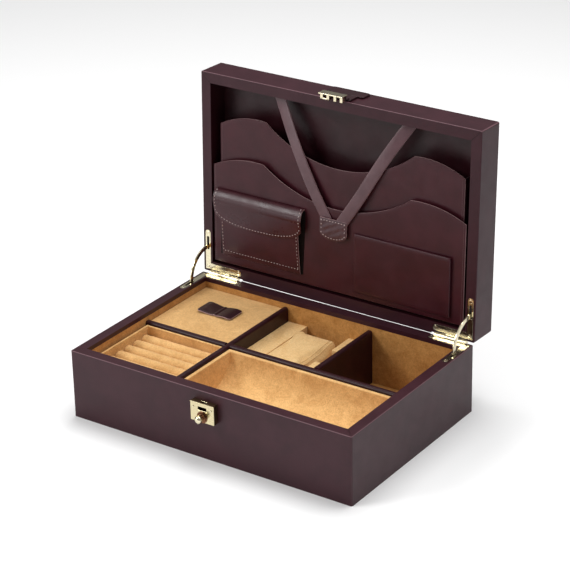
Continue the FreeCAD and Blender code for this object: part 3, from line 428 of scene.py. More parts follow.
def baked(made):
    """The object with its modifiers made part of its mesh."""
    graph = bpy.context.evaluated_depsgraph_get()
    mesh = bpy.data.meshes.new_from_object(made.evaluated_get(graph))
    if made.type == "MESH":
        made.modifiers.clear()
        made.data = mesh
        return made
    name = made.name
    bpy.data.objects.remove(made)
    return linked(name, mesh)


def closed(made, sharp=38.0):
    """Merges doubles, turns faces outwards and shades smooth up to an angle."""
    bm = bmesh.new()
    bm.from_mesh(made.data)
    bmesh.ops.remove_doubles(bm, verts=bm.verts, dist=1e-6)
    bmesh.ops.recalc_face_normals(bm, faces=bm.faces)
    bm.to_mesh(made.data)
    bm.free()
    made.data.shade_smooth()
    made.data.set_sharp_from_angle(angle=math.radians(sharp))
    return made


def fitted(made, node, *more):
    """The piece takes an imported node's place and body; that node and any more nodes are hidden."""
    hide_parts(node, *more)
    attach(made, BODY_OF[node])
    return made


def beside(made, node):
    """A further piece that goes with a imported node."""
    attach(made, BODY_OF[node])
    return made


def softened(made, width, segments=2, angle=30.0):
    """Rounds the hard edges by a width in millimetres."""
    bevel = made.modifiers.new("round", "BEVEL")
    bevel.width = width * MM
    bevel.segments = segments
    bevel.limit_method = "ANGLE"
    bevel.angle_limit = math.radians(angle)
    bevel.use_clamp_overlap = True
    return baked(made)


def worked(node, width, segments=2, finish=None):
    """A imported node's shape with its edges eased and its faces shaded smooth."""
    source = frame["nodes"][node]
    bm = bmesh.new()
    bm.from_mesh(source.data)
    bmesh.ops.remove_doubles(bm, verts=bm.verts, dist=2e-6)
    flat = math.radians(1.0)
    bmesh.ops.dissolve_limit(bm, angle_limit=flat, verts=bm.verts, edges=bm.edges)
    mesh = bpy.data.meshes.new(node + "_finished")
    bm.to_mesh(mesh)
    bm.free()
    mesh.materials.append(finish or source.data.materials[0])
    made = linked(node + "_finished", mesh)
    if width:
        made = softened(made, width, segments)
    made = closed(made)
    level = made.modifiers.new("level_faces", "WEIGHTED_NORMAL")
    level.keep_sharp = True
    level.weight = 90
    return fitted(baked(made), node)


def grid_faces(rows, columns, start=0):
    """Quads over a grid of points laid row by row."""
    return [
        (
            start + r * columns + c,
            start + r * columns + c + 1,
            start + (r + 1) * columns + c + 1,
            start + (r + 1) * columns + c,
        )
        for r in range(rows - 1)
        for c in range(columns - 1)
    ]


def hide(name, rows, thick, finish, edge=None, bevel=0.4, inside=1.0):
    """A sheet of leather: a grid of points on its face, given a thickness and rounded edges in their own
    finish, mostly edge paint lightened into a painted highlight.
    """
    verts = [point for row in rows for point in row]
    made = mesh_of(name, verts, grid_faces(len(rows), len(rows[0])), finish, edge or finish)
    solid = made.modifiers.new("thickness", "SOLIDIFY")
    solid.thickness = thick * MM
    solid.offset = inside
    solid.use_even_offset = True
    solid.material_offset_rim = 1
    bevel_step = made.modifiers.new("edges", "BEVEL")
    bevel_step.width = bevel * MM
    bevel_step.segments = 3
    bevel_step.limit_method = "ANGLE"
    bevel_step.angle_limit = math.radians(50)
    return closed(baked(made), 50.0)


def joined(name, *pieces):
    """Several pieces made one."""
    bm = bmesh.new()
    finishes = []
    for piece in pieces:
        offset = {}
        for index, finish in enumerate(piece.data.materials):
            if finish not in finishes:
                finishes.append(finish)
            offset[index] = finishes.index(finish)
        start = len(bm.faces)
        bm.from_mesh(piece.data)
        bm.faces.ensure_lookup_table()
        for face in bm.faces[start:]:
            face.material_index = offset.get(face.material_index, 0)
        bpy.data.objects.remove(piece)
    mesh = bpy.data.meshes.new(name)
    bm.to_mesh(mesh)
    bm.free()
    for finish in finishes:
        mesh.materials.append(finish)
    return linked(name, mesh)


def through(first, middle, last):
    """The height of a circle's arc through three points, as a function of x."""
    (x1, y1), (x2, y2), (x3, y3) = first, middle, last
    d = 2 * (x1 * (y2 - y3) + x2 * (y3 - y1) + x3 * (y1 - y2))
    s1, s2, s3 = x1 * x1 + y1 * y1, x2 * x2 + y2 * y2, x3 * x3 + y3 * y3
    cx = (s1 * (y2 - y3) + s2 * (y3 - y1) + s3 * (y1 - y2)) / d
    cy = (s1 * (x3 - x2) + s2 * (x1 - x3) + s3 * (x2 - x1)) / d
    radius = math.hypot(x1 - cx, y1 - cy)
    sign = 1 if y2 > cy else -1
    return lambda x: cy + sign * math.sqrt(max(radius * radius - (x - cx) ** 2, 0.0))


def smooth_path(points, steps):
    """A Catmull-Rom path through points of any size."""
    ends = [points[0]] + list(points) + [points[-1]]
    path = []
    for i in range(1, len(ends) - 2):
        a, b, c, d = (Vector(p) for p in ends[i - 1 : i + 3])
        for k in range(steps):
            t = k / steps
            square = (2 * a - 5 * b + 4 * c - d) * t**2
            cube = (3 * b - a - 3 * c + d) * t**3
            path.append(0.5 * ((2 * b) + (c - a) * t + square + cube))
    path.append(Vector(ends[-2]))
    return path


# --- trees for what repeats ---------------------------------------------------------------------------
def geometry_tree(name, ins):
    """An empty geometry tree with named inputs. Returns the tree, its helper and its sockets."""
    geometry = ("Geometry", "Geometry")
    return empty_tree(name, "GeometryNodeTree", [(*geometry, None), *ins], [geometry])


def close_tree(n, geometry, finish, made):
    """Every tree ends with real geometry and its finish."""
    real = n.add("GeometryNodeRealizeInstances")
    n.join(geometry, real.inputs["Geometry"])
    coat = n.add("GeometryNodeSetMaterial")
    n.join(real.outputs["Geometry"], coat.inputs["Geometry"])
    n.join(finish, coat.inputs["Material"])
    n.join(coat.outputs["Geometry"], made["Geometry"])


def build_sewing():
    """A row of stitches along each curve: slim grains of thread, each a little different."""
    ins = [
        ("Pitch", "Float", 0.0026),
        ("Length", "Float", 0.0019),
        ("Thickness", "Float", 0.0005),
        ("Seed", "Int", 3),
        ("Finish", "Material", None),
    ]
    tree, n, given, made = geometry_tree("sewing", ins)
    points = n.add("GeometryNodeCurveToPoints", mode="LENGTH")
    n.join(given["Geometry"], points.inputs["Curve"])
    n.join(given["Pitch"], points.inputs["Length"])
    grain = n.add("GeometryNodeMeshUVSphere")
    grain.inputs["Segments"].default_value = 8
    grain.inputs["Rings"].default_value = 6
    grain.inputs["Radius"].default_value = 0.5
    size = n.add("ShaderNodeCombineXYZ")
    for axis, label in (("X", "Thickness"), ("Y", "Thickness"), ("Z", "Length")):
        n.join(given[label], size.inputs[axis])
    wobble = n.add("FunctionNodeRandomValue", data_type="FLOAT_VECTOR")
    wobble.inputs["Min"].default_value = (0.9, 0.9, 0.9)
    wobble.inputs["Max"].default_value = (1.1, 1.1, 1.1)
    n.join(given["Seed"], wobble.inputs["Seed"])
    scale = n.add("ShaderNodeVectorMath", operation="MULTIPLY")
    n.join(size.outputs[0], scale.inputs[0])
    n.join(wobble.outputs["Value"], scale.inputs[1])
    placed = n.add("GeometryNodeInstanceOnPoints")
    n.join(points.outputs["Points"], placed.inputs["Points"])
    n.join(grain.outputs["Mesh"], placed.inputs["Instance"])
    n.join(points.outputs["Rotation"], placed.inputs["Rotation"])
    n.join(scale.outputs[0], placed.inputs["Scale"])
    close_tree(n, placed.outputs["Instances"], given["Finish"], made)
    return tree


def build_roll_row():
    """One ring roll repeated backwards and forwards, each a little different."""
    ins = [
        ("Count", "Int", 6),
        ("Pitch", "Float", 0.0154),
        ("Seed", "Int", 5),
        ("Finish", "Material", None),
    ]
    tree, n, given, made = geometry_tree("roll_row", ins)
    step = n.add("ShaderNodeCombineXYZ")
    n.join(n.maths("MULTIPLY", given["Pitch"], -1.0), step.inputs["Y"])
    line = n.add("GeometryNodeMeshLine", mode="OFFSET")
    n.join(given["Count"], line.inputs["Count"])
    n.join(step.outputs[0], line.inputs["Offset"])
    swell = n.add("FunctionNodeRandomValue", data_type="FLOAT_VECTOR")
    swell.inputs["Min"].default_value = (1.0, 0.985, 0.985)
    swell.inputs["Max"].default_value = (1.0, 1.01, 1.012)
    n.join(given["Seed"], swell.inputs["Seed"])
    placed = n.add("GeometryNodeInstanceOnPoints")
    n.join(line.outputs["Mesh"], placed.inputs["Points"])
    n.join(given["Geometry"], placed.inputs["Instance"])
    n.join(swell.outputs["Value"], placed.inputs["Scale"])
    close_tree(n, placed.outputs["Instances"], given["Finish"], made)
    return tree


def build_screw_heads():
    """A domed head with a cross recess on every point, turned at random."""
    ins = [
        ("Radius", "Float", 0.0021),
        ("Dome", "Float", 0.0005),
        ("Recess", "Float", 0.00045),
        ("Seed", "Int", 8),
        ("Finish", "Material", None),
    ]
    tree, n, given, made = geometry_tree("screw_heads", ins)
    ball = n.add("GeometryNodeMeshUVSphere")
    ball.inputs["Segments"].default_value = 28
    ball.inputs["Rings"].default_value = 16
    ball.inputs["Radius"].default_value = 1.0
    shape = n.add("ShaderNodeCombineXYZ")
    for axis, label in (("X", "Radius"), ("Y", "Radius"), ("Z", "Dome")):
        n.join(given[label], shape.inputs[axis])
    head = n.add("GeometryNodeTransform")
    n.join(ball.outputs["Mesh"], head.inputs["Geometry"])
    n.join(shape.outputs[0], head.inputs["Scale"])
    slots = n.add("GeometryNodeJoinGeometry")
    for axes in (("X", "Y"), ("Y", "X")):
        size = n.add("ShaderNodeCombineXYZ")
        n.join(n.maths("MULTIPLY", given["Radius"], 1.25), size.inputs[axes[0]])
        n.join(given["Recess"], size.inputs[axes[1]])
        n.join(n.maths("MULTIPLY", given["Dome"], 1.3), size.inputs["Z"])
        bar = n.add("GeometryNodeMeshCube")
        n.join(size.outputs[0], bar.inputs["Size"])
        raised = n.add("GeometryNodeTransform")
        lift = n.add("ShaderNodeCombineXYZ")
        n.join(n.maths("MULTIPLY", given["Dome"], 1.0), lift.inputs["Z"])
        n.join(bar.outputs["Mesh"], raised.inputs["Geometry"])
        n.join(lift.outputs[0], raised.inputs["Translation"])
        n.join(raised.outputs["Geometry"], slots.inputs["Geometry"])
    carved = n.add("GeometryNodeMeshBoolean", operation="DIFFERENCE")
    n.join(head.outputs["Geometry"], carved.inputs["Mesh 1"])
    n.join(slots.outputs["Geometry"], carved.inputs["Mesh 2"])
    turned = n.add("FunctionNodeRandomValue", data_type="FLOAT_VECTOR")
    turned.inputs["Min"].default_value = (0.0, 0.0, 0.0)
    turned.inputs["Max"].default_value = (0.0, 0.0, 3.1)
    n.join(given["Seed"], turned.inputs["Seed"])
    placed = n.add("GeometryNodeInstanceOnPoints")
    n.join(given["Geometry"], placed.inputs["Points"])
    n.join(carved.outputs["Mesh"], placed.inputs["Instance"])
    n.join(turned.outputs["Value"], placed.inputs["Rotation"])
    close_tree(n, placed.outputs["Instances"], given["Finish"], made)
    return tree


SEWING = build_sewing()
ROLL_ROW = build_roll_row()
SCREW_HEADS = build_screw_heads()


def grown(made, tree, **values):
    """Runs a tree on an object, with its inputs set by their sockets' identifiers, and keeps the mesh."""
    step = made.modifiers.new("repeat", "NODES")
    step.node_group = tree
    for item in tree.interface.items_tree:
        if item.in_out == "INPUT" and item.name.replace(" ", "_") in values:
            step[item.identifier] = values[item.name.replace(" ", "_")]
    return baked(made)


def sewn(name, paths, node, pitch=2.6, length=1.9, thick=0.5, seed=3, finish=None):
    """Stitches along paths of points in metres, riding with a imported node."""
    curve = bpy.data.curves.new(name, "CURVE")
    curve.dimensions = "3D"
    for path in paths:
        spline = curve.splines.new("POLY")
        spline.points.add(len(path) - 1)
        for spot, point in zip(spline.points, path):
            spot.co = (*point, 1.0)
    made = grown(
        linked(name, curve),
        SEWING,
        Pitch=pitch * MM,
        Length=length * MM,
        Thickness=thick * MM,
        Seed=seed,
        Finish=finish or THREAD,
    )
    made.data.shade_smooth()
    return beside(made, node)


# --- lid pockets --------------------------------------------------------------------------------------
POCKET_BOTTOM = 16.0
PEAK_X = 96.0


def pocket_top(half, peak, fall, drop=13.0):
    """The top edge of a pocket: two lobes with a dip between."""
    middle = through((-PEAK_X, peak), (0.0, peak - fall), (PEAK_X, peak))
    end = peak - drop
    lobe = through((PEAK_X, peak), ((half + PEAK_X) / 2, (peak + end) / 2 + 5.0), (half, end))
    return lambda x: middle(x) if abs(x) < PEAK_X else lobe(abs(x))


def pocket_columns(half):
    """Places across a pocket, closer together round the peaks."""
    inner = [PEAK_X * math.sin(math.pi / 2 * k / 26) for k in range(27)]
    outer = [PEAK_X + (half - PEAK_X) * k / 16 for k in range(1, 17)]
    right = inner + outer
    return [-x for x in reversed(right[1:])] + right


def pocket(node, half, peak, fall, depth, belly):
    """The leather front of a pocket, a little slack between its side seams."""
    top = pocket_top(half, peak, fall)
    columns = pocket_columns(half)
    rows = []
    for r in range(29):
        share = r / 28
        row = []
        for x in columns:
            rise = POCKET_BOTTOM + (top(x) - POCKET_BOTTOM) * share
            slack = belly * math.sin(math.pi * (x + half) / (2 * half)) ** 0.6 * share**3
            ripple = 0.12 * math.sin(x * 0.052 + 1.3) * share**2
            row.append(lid_at(x, rise, depth - slack + ripple * belly))
        rows.append(row)
    made = hide(node + "_hide", rows, 1.5, POCKET_LEATHER, EDGE_PAINT_AND_HIGHLIGHT, 0.42, -1.0)
    fitted(made, node)
    seams = []
    for side in (-1, 1):
        x = side * (half - 2.6)
        stretch = top(x) - 6.0 - POCKET_BOTTOM
        rises = [POCKET_BOTTOM + 4 + stretch * k / 40 for k in range(41)]
        seams.append([lid_at(x, rise, depth - 0.08) for rise in rises])
    sewn(node + "_seams", seams, node, 2.7, 1.9, 0.42)


pocket("back_pocket", 158.5, 194.5, 35.5, 6.0, 0.5)
pocket("front_pocket", 164.5, 146.0, 32.0, 0.6, 0.35)
worked("back_pocket_gusset", 0.3, finish=INNER_LEATHER)
worked("front_pocket_gusset", 0.3, finish=INNER_LEATHER)

# --- pouch and its flap -------------------------------------------------------------------------------
# depths are from the lid's rim: a smaller one stands further out
PANEL_FACE = 0.6
POUCH_MIDDLE = -100.0
POUCH_TOP = 103.0
POUCH_LOW = 26.4
POUCH_SWELL = 5.0


def pouch_front_depth(rise):
    """How far the pouch's front stands, from its sewn bottom to its mouth."""
    share = (rise - POUCH_LOW) / (POUCH_TOP - POUCH_LOW)
    return PANEL_FACE - 1.5 - POUCH_SWELL * math.sin(max(share, 0.0) * math.pi / 2) ** 0.9


def pouch_edge(side, rise):
    """Where one upright edge of the pouch's front panel lies."""
    share = (rise - POUCH_LOW) / (POUCH_TOP - POUCH_LOW)
    return -152.4 + 1.2 * share if side < 0 else -45.4 - 0.9 * share


front_rows = []
for r in range(21):
    rise = POUCH_LOW + (POUCH_TOP - POUCH_LOW) * r / 20
    left_edge, right_edge = pouch_edge(-1, rise), pouch_edge(1, rise)
    row = []
    for c in range(31):
        bow = 0.35 * math.sin(math.pi * c / 30) * math.sin(math.pi * r / 20)
        row.append(lid_at(left_edge + (right_edge - left_edge) * c / 30, rise, pouch_front_depth(rise) - bow))
    front_rows.append(row)
pouch_parts = [hide("pouch_front", front_rows, 1.3, POCKET_LEATHER, EDGE_PAINT_AND_HIGHLIGHT, 0.35, -1.0)]
for side in (-1, 1):
    side_rows = []
    for r in range(21):
        rise = POUCH_LOW + (POUCH_TOP - POUCH_LOW) * r / 20
        foot = -155.4 if side < 0 else -38.8 - 3.4 * (1 - r / 20)
        edge = pouch_edge(side, rise) - side * 0.6
        front = pouch_front_depth(rise) + 0.7
        fold = foot + (edge - foot) * 0.9 - side * 1.2
        side_rows.append(
            [
                lid_at(foot, rise, 0.45),
                lid_at(fold + side * 0.6, rise, 0.45 + (front - 0.45) * 0.35),
                lid_at(fold, rise, 0.45 + (front - 0.45) * 0.7),
                lid_at(edge, rise, front),
            ]
        )
    # the pouch's sides carry the near-black painted shade
    pouch_parts.append(hide("pouch_side", side_rows, 0.8, GUSSET_SHADED_LEATHER, GUSSET_SHADED_LEATHER, 0.2, float(side)))
fitted(joined("pouch_body", *pouch_parts), "pouch")

LOW_SEAM = 32.4
low_depth = pouch_front_depth(LOW_SEAM) - 0.3
pouch_seams = [[lid_at(-147.5 + 99.5 * k / 30, LOW_SEAM, low_depth) for k in range(31)]]
seam_rises = [34 + 50 * k / 20 for k in range(21)]
for side in (-1, 1):
    run = []
    for rise in seam_rises:
        run.append(lid_at(pouch_edge(side, rise) - side * 2.2, rise, pouch_front_depth(rise) - 0.2))
    pouch_seams.append(run)
sewn("pouch_seams", pouch_seams, "pouch", 3.9, 1.9, 0.8, 11, THREAD_PALE)

FLAP_HALF = 59.6
FLAP_CORNER = 84.0
FLAP_BOW = 18.5
FLAP_FRONT = -8.9
FLAP_LEAN = 2.1
FLAP_SEAM = 2.4
# the flap's side view: rise and depth, from its sewn edge over the roll
FLAP_ROLL = [
    (105.4, 0.3),
    (106.2, -1.5),
    (105.4, -3.5),
    (102.8, -5.9),
    (99.2, -8.1),
    (96.0, -9.2),
    (93.0, -9.3),
]


def flap_low(x):
    """The flap's lower edge: upright sides that round into a shallow bow."""
    reach = min(abs(x - POUCH_MIDDLE) / FLAP_HALF, 1.0)
    return FLAP_CORNER - FLAP_BOW * (1 - reach**2.5) ** (1 / 2.5)


def flap_rows():
    """The flap's outer face, from its sewn edge over the roll and down the front."""
    columns = [POUCH_MIDDLE + FLAP_HALF * math.sin(math.pi / 2 * k / 24) for k in range(-24, 25)]
    roll = smooth_path([(rise, depth, 0.0) for rise, depth in FLAP_ROLL], 4)
    rows = []
    for point in roll:
        rows.append([lid_at(x, point[0], point[1]) for x in columns])
    last_rise = roll[-1][0]
    for r in range(1, 17):
        share = r / 16
        row = []
        for x in columns:
            rise = last_rise + (flap_low(x) - last_rise) * share
            belly = 0.35 * math.sin(math.pi * share) * math.cos((x - POUCH_MIDDLE) / FLAP_HALF * math.pi / 2)
            row.append(lid_at(x, rise, FLAP_FRONT + FLAP_LEAN * share - belly))
        rows.append(row)
    return rows


fitted(hide("pouch_flap_hide", flap_rows(), 1.5, FLAP_LEATHER, EDGE_PAINT_AND_HIGHLIGHT, 0.5, 1.0), "pouch_flap")
lower = [(FLAP_HALF - FLAP_SEAM) * math.sin(math.pi / 2 * k / 40) for k in range(-40, 41)]
flap_seams = [[lid_at(POUCH_MIDDLE + x, flap_low(POUCH_MIDDLE + x * 1.03) + 2.6, -7.32) for x in lower]]
for side in (-1, 1):
    x = POUCH_MIDDLE + side * (FLAP_HALF - FLAP_SEAM)
    run = [lid_at(x, rise, depth - 0.12) for rise, depth in FLAP_ROLL[2:]] + [lid_at(x, 87.0, -7.95)]
    flap_seams.append(run)
sewn("pouch_flap_seams", flap_seams, "pouch_flap", 3.9, 1.9, 0.8, 21, THREAD_PALE)

# --- slip panel ---------------------------------------------------------------------------------------
PANEL_LEFT, PANEL_RIGHT = 25.7, 148.8
PANEL_LOW, PANEL_TALL = 22.7, 69.6
PANEL_WIDE = PANEL_RIGHT - PANEL_LEFT
STAND_LEFT, STAND_MORE, LEAN = 2.2, 1.5, 0.4
panel_rows = []
for r in range(15):
    row = []
    for c in range(31):
        share = c / 30
        stand = STAND_LEFT + STAND_MORE * share**2 + LEAN * (r / 14) ** 2
        rise = PANEL_LOW + PANEL_TALL * r / 14
        row.append(lid_at(PANEL_LEFT + PANEL_WIDE * share, rise, PANEL_FACE - stand))
    panel_rows.append(row)
panel_parts = [hide("slip_panel_face", panel_rows, 2.6, POCKET_LEATHER, POCKET_LEATHER, 1.15, -1.0)]
inner_xs = [PANEL_LEFT + 1.2 + (PANEL_WIDE - 2.4) * c / 12 for c in range(13)]
inner_rows = [[lid_at(x, PANEL_LOW + 0.8 + 66.4 * r / 6, 0.4) for x in inner_xs] for r in range(7)]
panel_parts.append(hide("slip_panel_back", inner_rows, 0.9, INNER_LEATHER, EDGE_PAINT_AND_HIGHLIGHT, 0.25, 1.0))
for side, x, stand in ((-1, PANEL_LEFT + 0.8, STAND_LEFT), (1, PANEL_RIGHT - 0.8, STAND_LEFT + STAND_MORE)):
    depths = (0.3, PANEL_FACE - stand + 0.7)
    rows = [[lid_at(x, PANEL_LOW + 0.5 + 68 * r / 6, depth) for depth in depths] for r in range(7)]
    panel_parts.append(hide("slip_panel_side", rows, 1.0, INNER_LEATHER, EDGE_PAINT_AND_HIGHLIGHT, 0.2, float(side)))
fitted(joined("slip_panel_hide", *panel_parts), "slip_panel")

# --- V strap and shield -------------------------------------------------------------------------------
STRAP_WIDTH = 13.6
STRAP_TOP = (86.0, 227.0, 17.0)
STRAP_FOOT = (9.5, 99.5, -1.2)
OVER_BACK_POCKET = (183.0, 5.3)
OVER_FRONT_POCKET = (136.0, 0.4)


def strap(node, side, lift, under):
    """A flat strap that bends over the pockets; its foot goes under the shield."""
    top = (side * STRAP_TOP[0], *STRAP_TOP[1:])
    foot = (side * STRAP_FOOT[0], STRAP_FOOT[1], STRAP_FOOT[2] - lift)
    bend_x = foot[0] + (top[0] - foot[0]) * (182.0 - foot[1]) / (top[1] - foot[1])
    bends = (bend_x * 1.005, *OVER_BACK_POCKET), (bend_x * 0.55, *OVER_FRONT_POCKET)
    path = smooth_path([top, *bends, foot], 14)
    rows = []
    for i, spot in enumerate(path):
        ahead_spot = path[min(i + 1, len(path) - 1)]
        back_spot = path[max(i - 1, 0)]
        run = (ahead_spot - back_spot).normalized()
        across = Vector((-run[1], run[0], 0.0)).normalized() * side * -1
        twist = 0.35 * math.sin(i * 0.21 + side)
        row = []
        for c in range(7):
            share = c / 3 - 1
            point = spot + across * STRAP_WIDTH / 2 * share
            crown = 0.28 * (1 - share**2) + twist * share * 0.5
            row.append(lid_at(point[0], point[1], spot[2] - crown))
        rows.append(row)
    fitted(hide(node + "_hide", rows, 1.3, STRAP_LEATHER, EDGE_PAINT_AND_HIGHLIGHT, 0.4, under), node)


strap("strap_left", -1, 0.2, 1.0)
strap("strap_right", 1, 1.5, 1.0)

SHIELD_HALF = 17.4
SHIELD_TOP = 103.4
SHIELD_FACE = -4.3
SHIELD_PUFF = 0.6
SHIELD_SEAM = 2.2


def shield_low(x, inset=0.0):
    """The shield's round lower edge."""
    half = SHIELD_HALF - inset
    reach = min(abs(x) / half, 1.0)
    return 88.0 - (9.5 - inset) * (1 - reach**2.2) ** (1 / 2.2)


def shield_rows():
    """The shield's padded, creased face."""
    rows = []
    for r in range(15):
        share = r / 14
        row = []
        for k in range(-14, 15):
            x = SHIELD_HALF * math.sin(math.pi / 2 * k / 14)
            rise = shield_low(x) + (SHIELD_TOP - shield_low(x)) * share
            dome = (1 - (x / SHIELD_HALF) ** 4) * (1 - (2 * share - 1) ** 4)
            wrinkle = 0.22 * math.sin(x * 0.9 + rise * 0.5 + math.sin(rise))
            wrinkle += 0.2 * math.sin(x * 0.4 - rise * 0.8 + 2)
            row.append(lid_at(x, rise, SHIELD_FACE - SHIELD_PUFF * dome + wrinkle * dome))
        rows.append(row)
    return rows


shield = hide("strap_shield_hide", shield_rows(), 2.4, SHIELD_LEATHER, EDGE_PAINT_AND_HIGHLIGHT, 0.7, -1.0)
fitted(shield, "strap_shield")
seam_half = SHIELD_HALF - SHIELD_SEAM
edge_run = []
for k in range(-24, 25):
    x = seam_half * math.sin(math.pi / 2 * k / 24)
    edge_run.append(lid_at(x, shield_low(x * 1.06) + 2.4, SHIELD_FACE - 0.25))
top_xs = [-seam_half + 2 * seam_half * k / 16 for k in range(17)]
top_run = [lid_at(x, SHIELD_TOP - SHIELD_SEAM, SHIELD_FACE - 0.25) for x in top_xs]
left_run, right_run = (
    [lid_at(side * seam_half, 100.5 - 9 * k / 6, SHIELD_FACE - 0.2) for k in range(7)] for side in (-1, 1)
)
shield_runs = [edge_run, top_run, left_run, right_run]
sewn("strap_shield_seams", shield_runs, "strap_shield", 3.6, 1.8, 0.85, 31, THREAD_PALE)

# --- pull tab -----------------------------------------------------------------------------------------
TAB_Y = 60.8
TAB_LEFT, TAB_LONG = -136.4, 45.8
TAB_PINCH = -113.0
TAB_HALF = 11.6
TAB_LOW = 68.2
TAB_CORNER = 3.0


def tab_half(x):
    """Half the tab's width: narrowest at its pinched middle, rounded at both ends."""
    half = TAB_HALF + 1.3 * min(abs(x - TAB_PINCH) / 16.0, 1.0) ** 0.7
    to_end = min(x - TAB_LEFT, TAB_LEFT + TAB_LONG - x)
    if to_end < TAB_CORNER:
        half -= 2.2 * (1 - to_end / TAB_CORNER) ** 2
    return half


def tab_height(x):
    """The tab's top: its left leaf rises away from the pinch, its right one bends over."""
    off = x - TAB_PINCH
    if off < 0:
        height = TAB_LOW + 1.9 * min(-off / 18.0, 1.0) ** 1.4
    else:
        height = TAB_LOW + 2.0 * math.sin(min(off / 16.0, 1.0) * math.pi / 2)
        height -= 1.1 * max((off - 12.0) / 10.4, 0.0) ** 2
    if abs(off) < 1.6:
        height += 0.9 * math.cos(off / 1.6 * math.pi / 2)
    if 1.8 < off < 3.4:
        height -= 0.15
    return height


tab_rows = []
for i in range(49):
    x = TAB_LEFT + TAB_LONG * i / 48
    row = []
    for c in range(13):
        share = c / 6 - 1
        curl = 0.5 * share**2 * min(abs(x - TAB_PINCH) / 10.0, 1.0)
        row.append(base_at(x, TAB_Y + tab_half(x) * share, tab_height(x) + 0.15 - curl * 0.3))
    tab_rows.append(row)
fitted(hide("pull_tab_hide", tab_rows, 1.3, INNER_LEATHER, EDGE_PAINT_AND_HIGHLIGHT, 0.45, -1.0), "pull_tab")
tab_seams = []
for off, top in ((-2.4, 69.85), (2.4, 69.75)):
    tab_seams.append([base_at(TAB_PINCH + off, TAB_Y - 10.2 + 20.4 * k / 12, top) for k in range(13)])
for side in (-1, 1):
    y = TAB_Y + side * 10.9
    along = [k / 10 for k in range(11)]
    tab_seams.append([base_at(TAB_LEFT + 1.8 + 17 * share, y, 71.68 - 1.75 * share**1.3) for share in along])
sewn("pull_tab_seams", tab_seams, "pull_tab", 2.2, 1.5, 0.36, 41)

# --- suede pieces of the base -------------------------------------------------------------------------
worked("compartment_cover", 0.9, 3, SUEDE_PALE)
worked("ring_tray", 0.9, 3)
worked("ring_bed", 0.6)
worked("scoop_tray", 1.0, 3)
worked("watch_ledge_left", 0.4, 2, SUEDE_PAINTED_LIGHT)
worked("watch_ledge_right", 1.2, 3, SUEDE_PAINTED_LIGHT)
worked("cover_ledges", 0.6)
worked("pillow_stand", 0.6)

# ring rolls: one upholstered half-round, repeated
ROLL_LOW, ROLL_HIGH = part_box("ring_rolls")
ROLL_RADIUS = 7.4
roll_from, roll_to = ROLL_LOW.x / MM, ROLL_HIGH.x / MM
first_y = ROLL_HIGH.y / MM - ROLL_RADIUS
axis_z = ROLL_HIGH.z / MM - ROLL_RADIUS
roll_verts, roll_faces = [], []
AROUND, ALONG = 36, 44
ROLL_END = 3.2
for i in range(ALONG + 1):
    x = roll_from + (roll_to - roll_from) * (0.5 - 0.5 * math.cos(math.pi * i / ALONG))
    to_end = min(x - roll_from, roll_to - x)
    bulge = math.sqrt(max(1 - (1 - to_end / ROLL_END) ** 2, 0.0))
    shrink = 1.0 if to_end > ROLL_END else 0.80 + 0.20 * bulge
    for k in range(AROUND):
        angle = 2 * math.pi * k / AROUND
        pucker = 0.10 * math.sin(3 * angle + x * 0.35) + 0.08 * math.sin(x * 0.62 + 1.0)
        pucker += 0.06 * math.sin(x * 1.7 + angle)
        radius = (ROLL_RADIUS - 0.15) * shrink + pucker
        roll_verts.append(base_at(x, radius * math.cos(angle), radius * math.sin(angle)))
for i in range(ALONG):
    for k in range(AROUND):
        nxt = (k + 1) % AROUND
        roll_faces.append((i * AROUND + k, i * AROUND + nxt, (i + 1) * AROUND + nxt, (i + 1) * AROUND + k))
roll_faces.append(tuple(range(AROUND)))
roll_faces.append(tuple(ALONG * AROUND + k for k in range(AROUND)))
roll = closed(mesh_of("ring_roll_suede", roll_verts, roll_faces, SUEDE_PALE))
roll = grown(roll, ROLL_ROW, Finish=SUEDE_PALE)
roll.data.transform(Matrix.Translation(base_at(0.0, first_y, axis_z)))
fitted(closed(roll, 60.0), "ring_rolls")

# watch pillow: swollen by pressure inside its cover, and held to the place it fills
PILLOW_LOW, PILLOW_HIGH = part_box("watch_pillow")


def pillow_start():
    """A block a little smaller than its place, with a rounded free end."""
    shrink = 0.8 * MM
    low, high = PILLOW_LOW + Vector((shrink,) * 3), PILLOW_HIGH - Vector((shrink,) * 3)
    corners = [(x, z) for x, z in ((low.x, low.z), (high.x, low.z), (high.x, high.z), (low.x, high.z))]
    verts = [Vector((x, y, z)) for y in (low.y, high.y) for x, z in corners]
    faces = [(0, 1, 2, 3), (7, 6, 5, 4), (0, 4, 5, 1), (1, 5, 6, 2), (2, 6, 7, 3), (3, 7, 4, 0)]
    made = mesh_of("watch_pillow_suede", verts, faces, SUEDE_PAINTED_LIGHT)
    bm = bmesh.new()
    bm.from_mesh(made.data)
    bm.edges.ensure_lookup_table()

    def rounded(edges, radius, segments):
        bmesh.ops.bevel(bm, geom=edges, offset=radius * MM, segments=segments, profile=0.5, affect="EDGES")

    def at_nose(edge):
        first, second = (v.co for v in edge.verts)
        return min(first.x, second.x) > high.x - 1e-6 and abs(first.y - second.y) > 0.01

    rounded([e for e in bm.edges if at_nose(e)], 5, 6)
    front_top = high.z - 6 * MM
    rounded([e for e in bm.edges if all(v.co.y < low.y + 1e-6 and v.co.z > front_top for v in e.verts)], 4, 6)
    rounded([e for e in bm.edges if e.calc_face_angle(0.0) > math.radians(50)], 1.8, 3)
    bm.to_mesh(made.data)
    bm.free()
    remesh = made.modifiers.new("even", "REMESH")
    remesh.mode = "VOXEL"
    remesh.voxel_size = 2.6 * MM
    return baked(made)


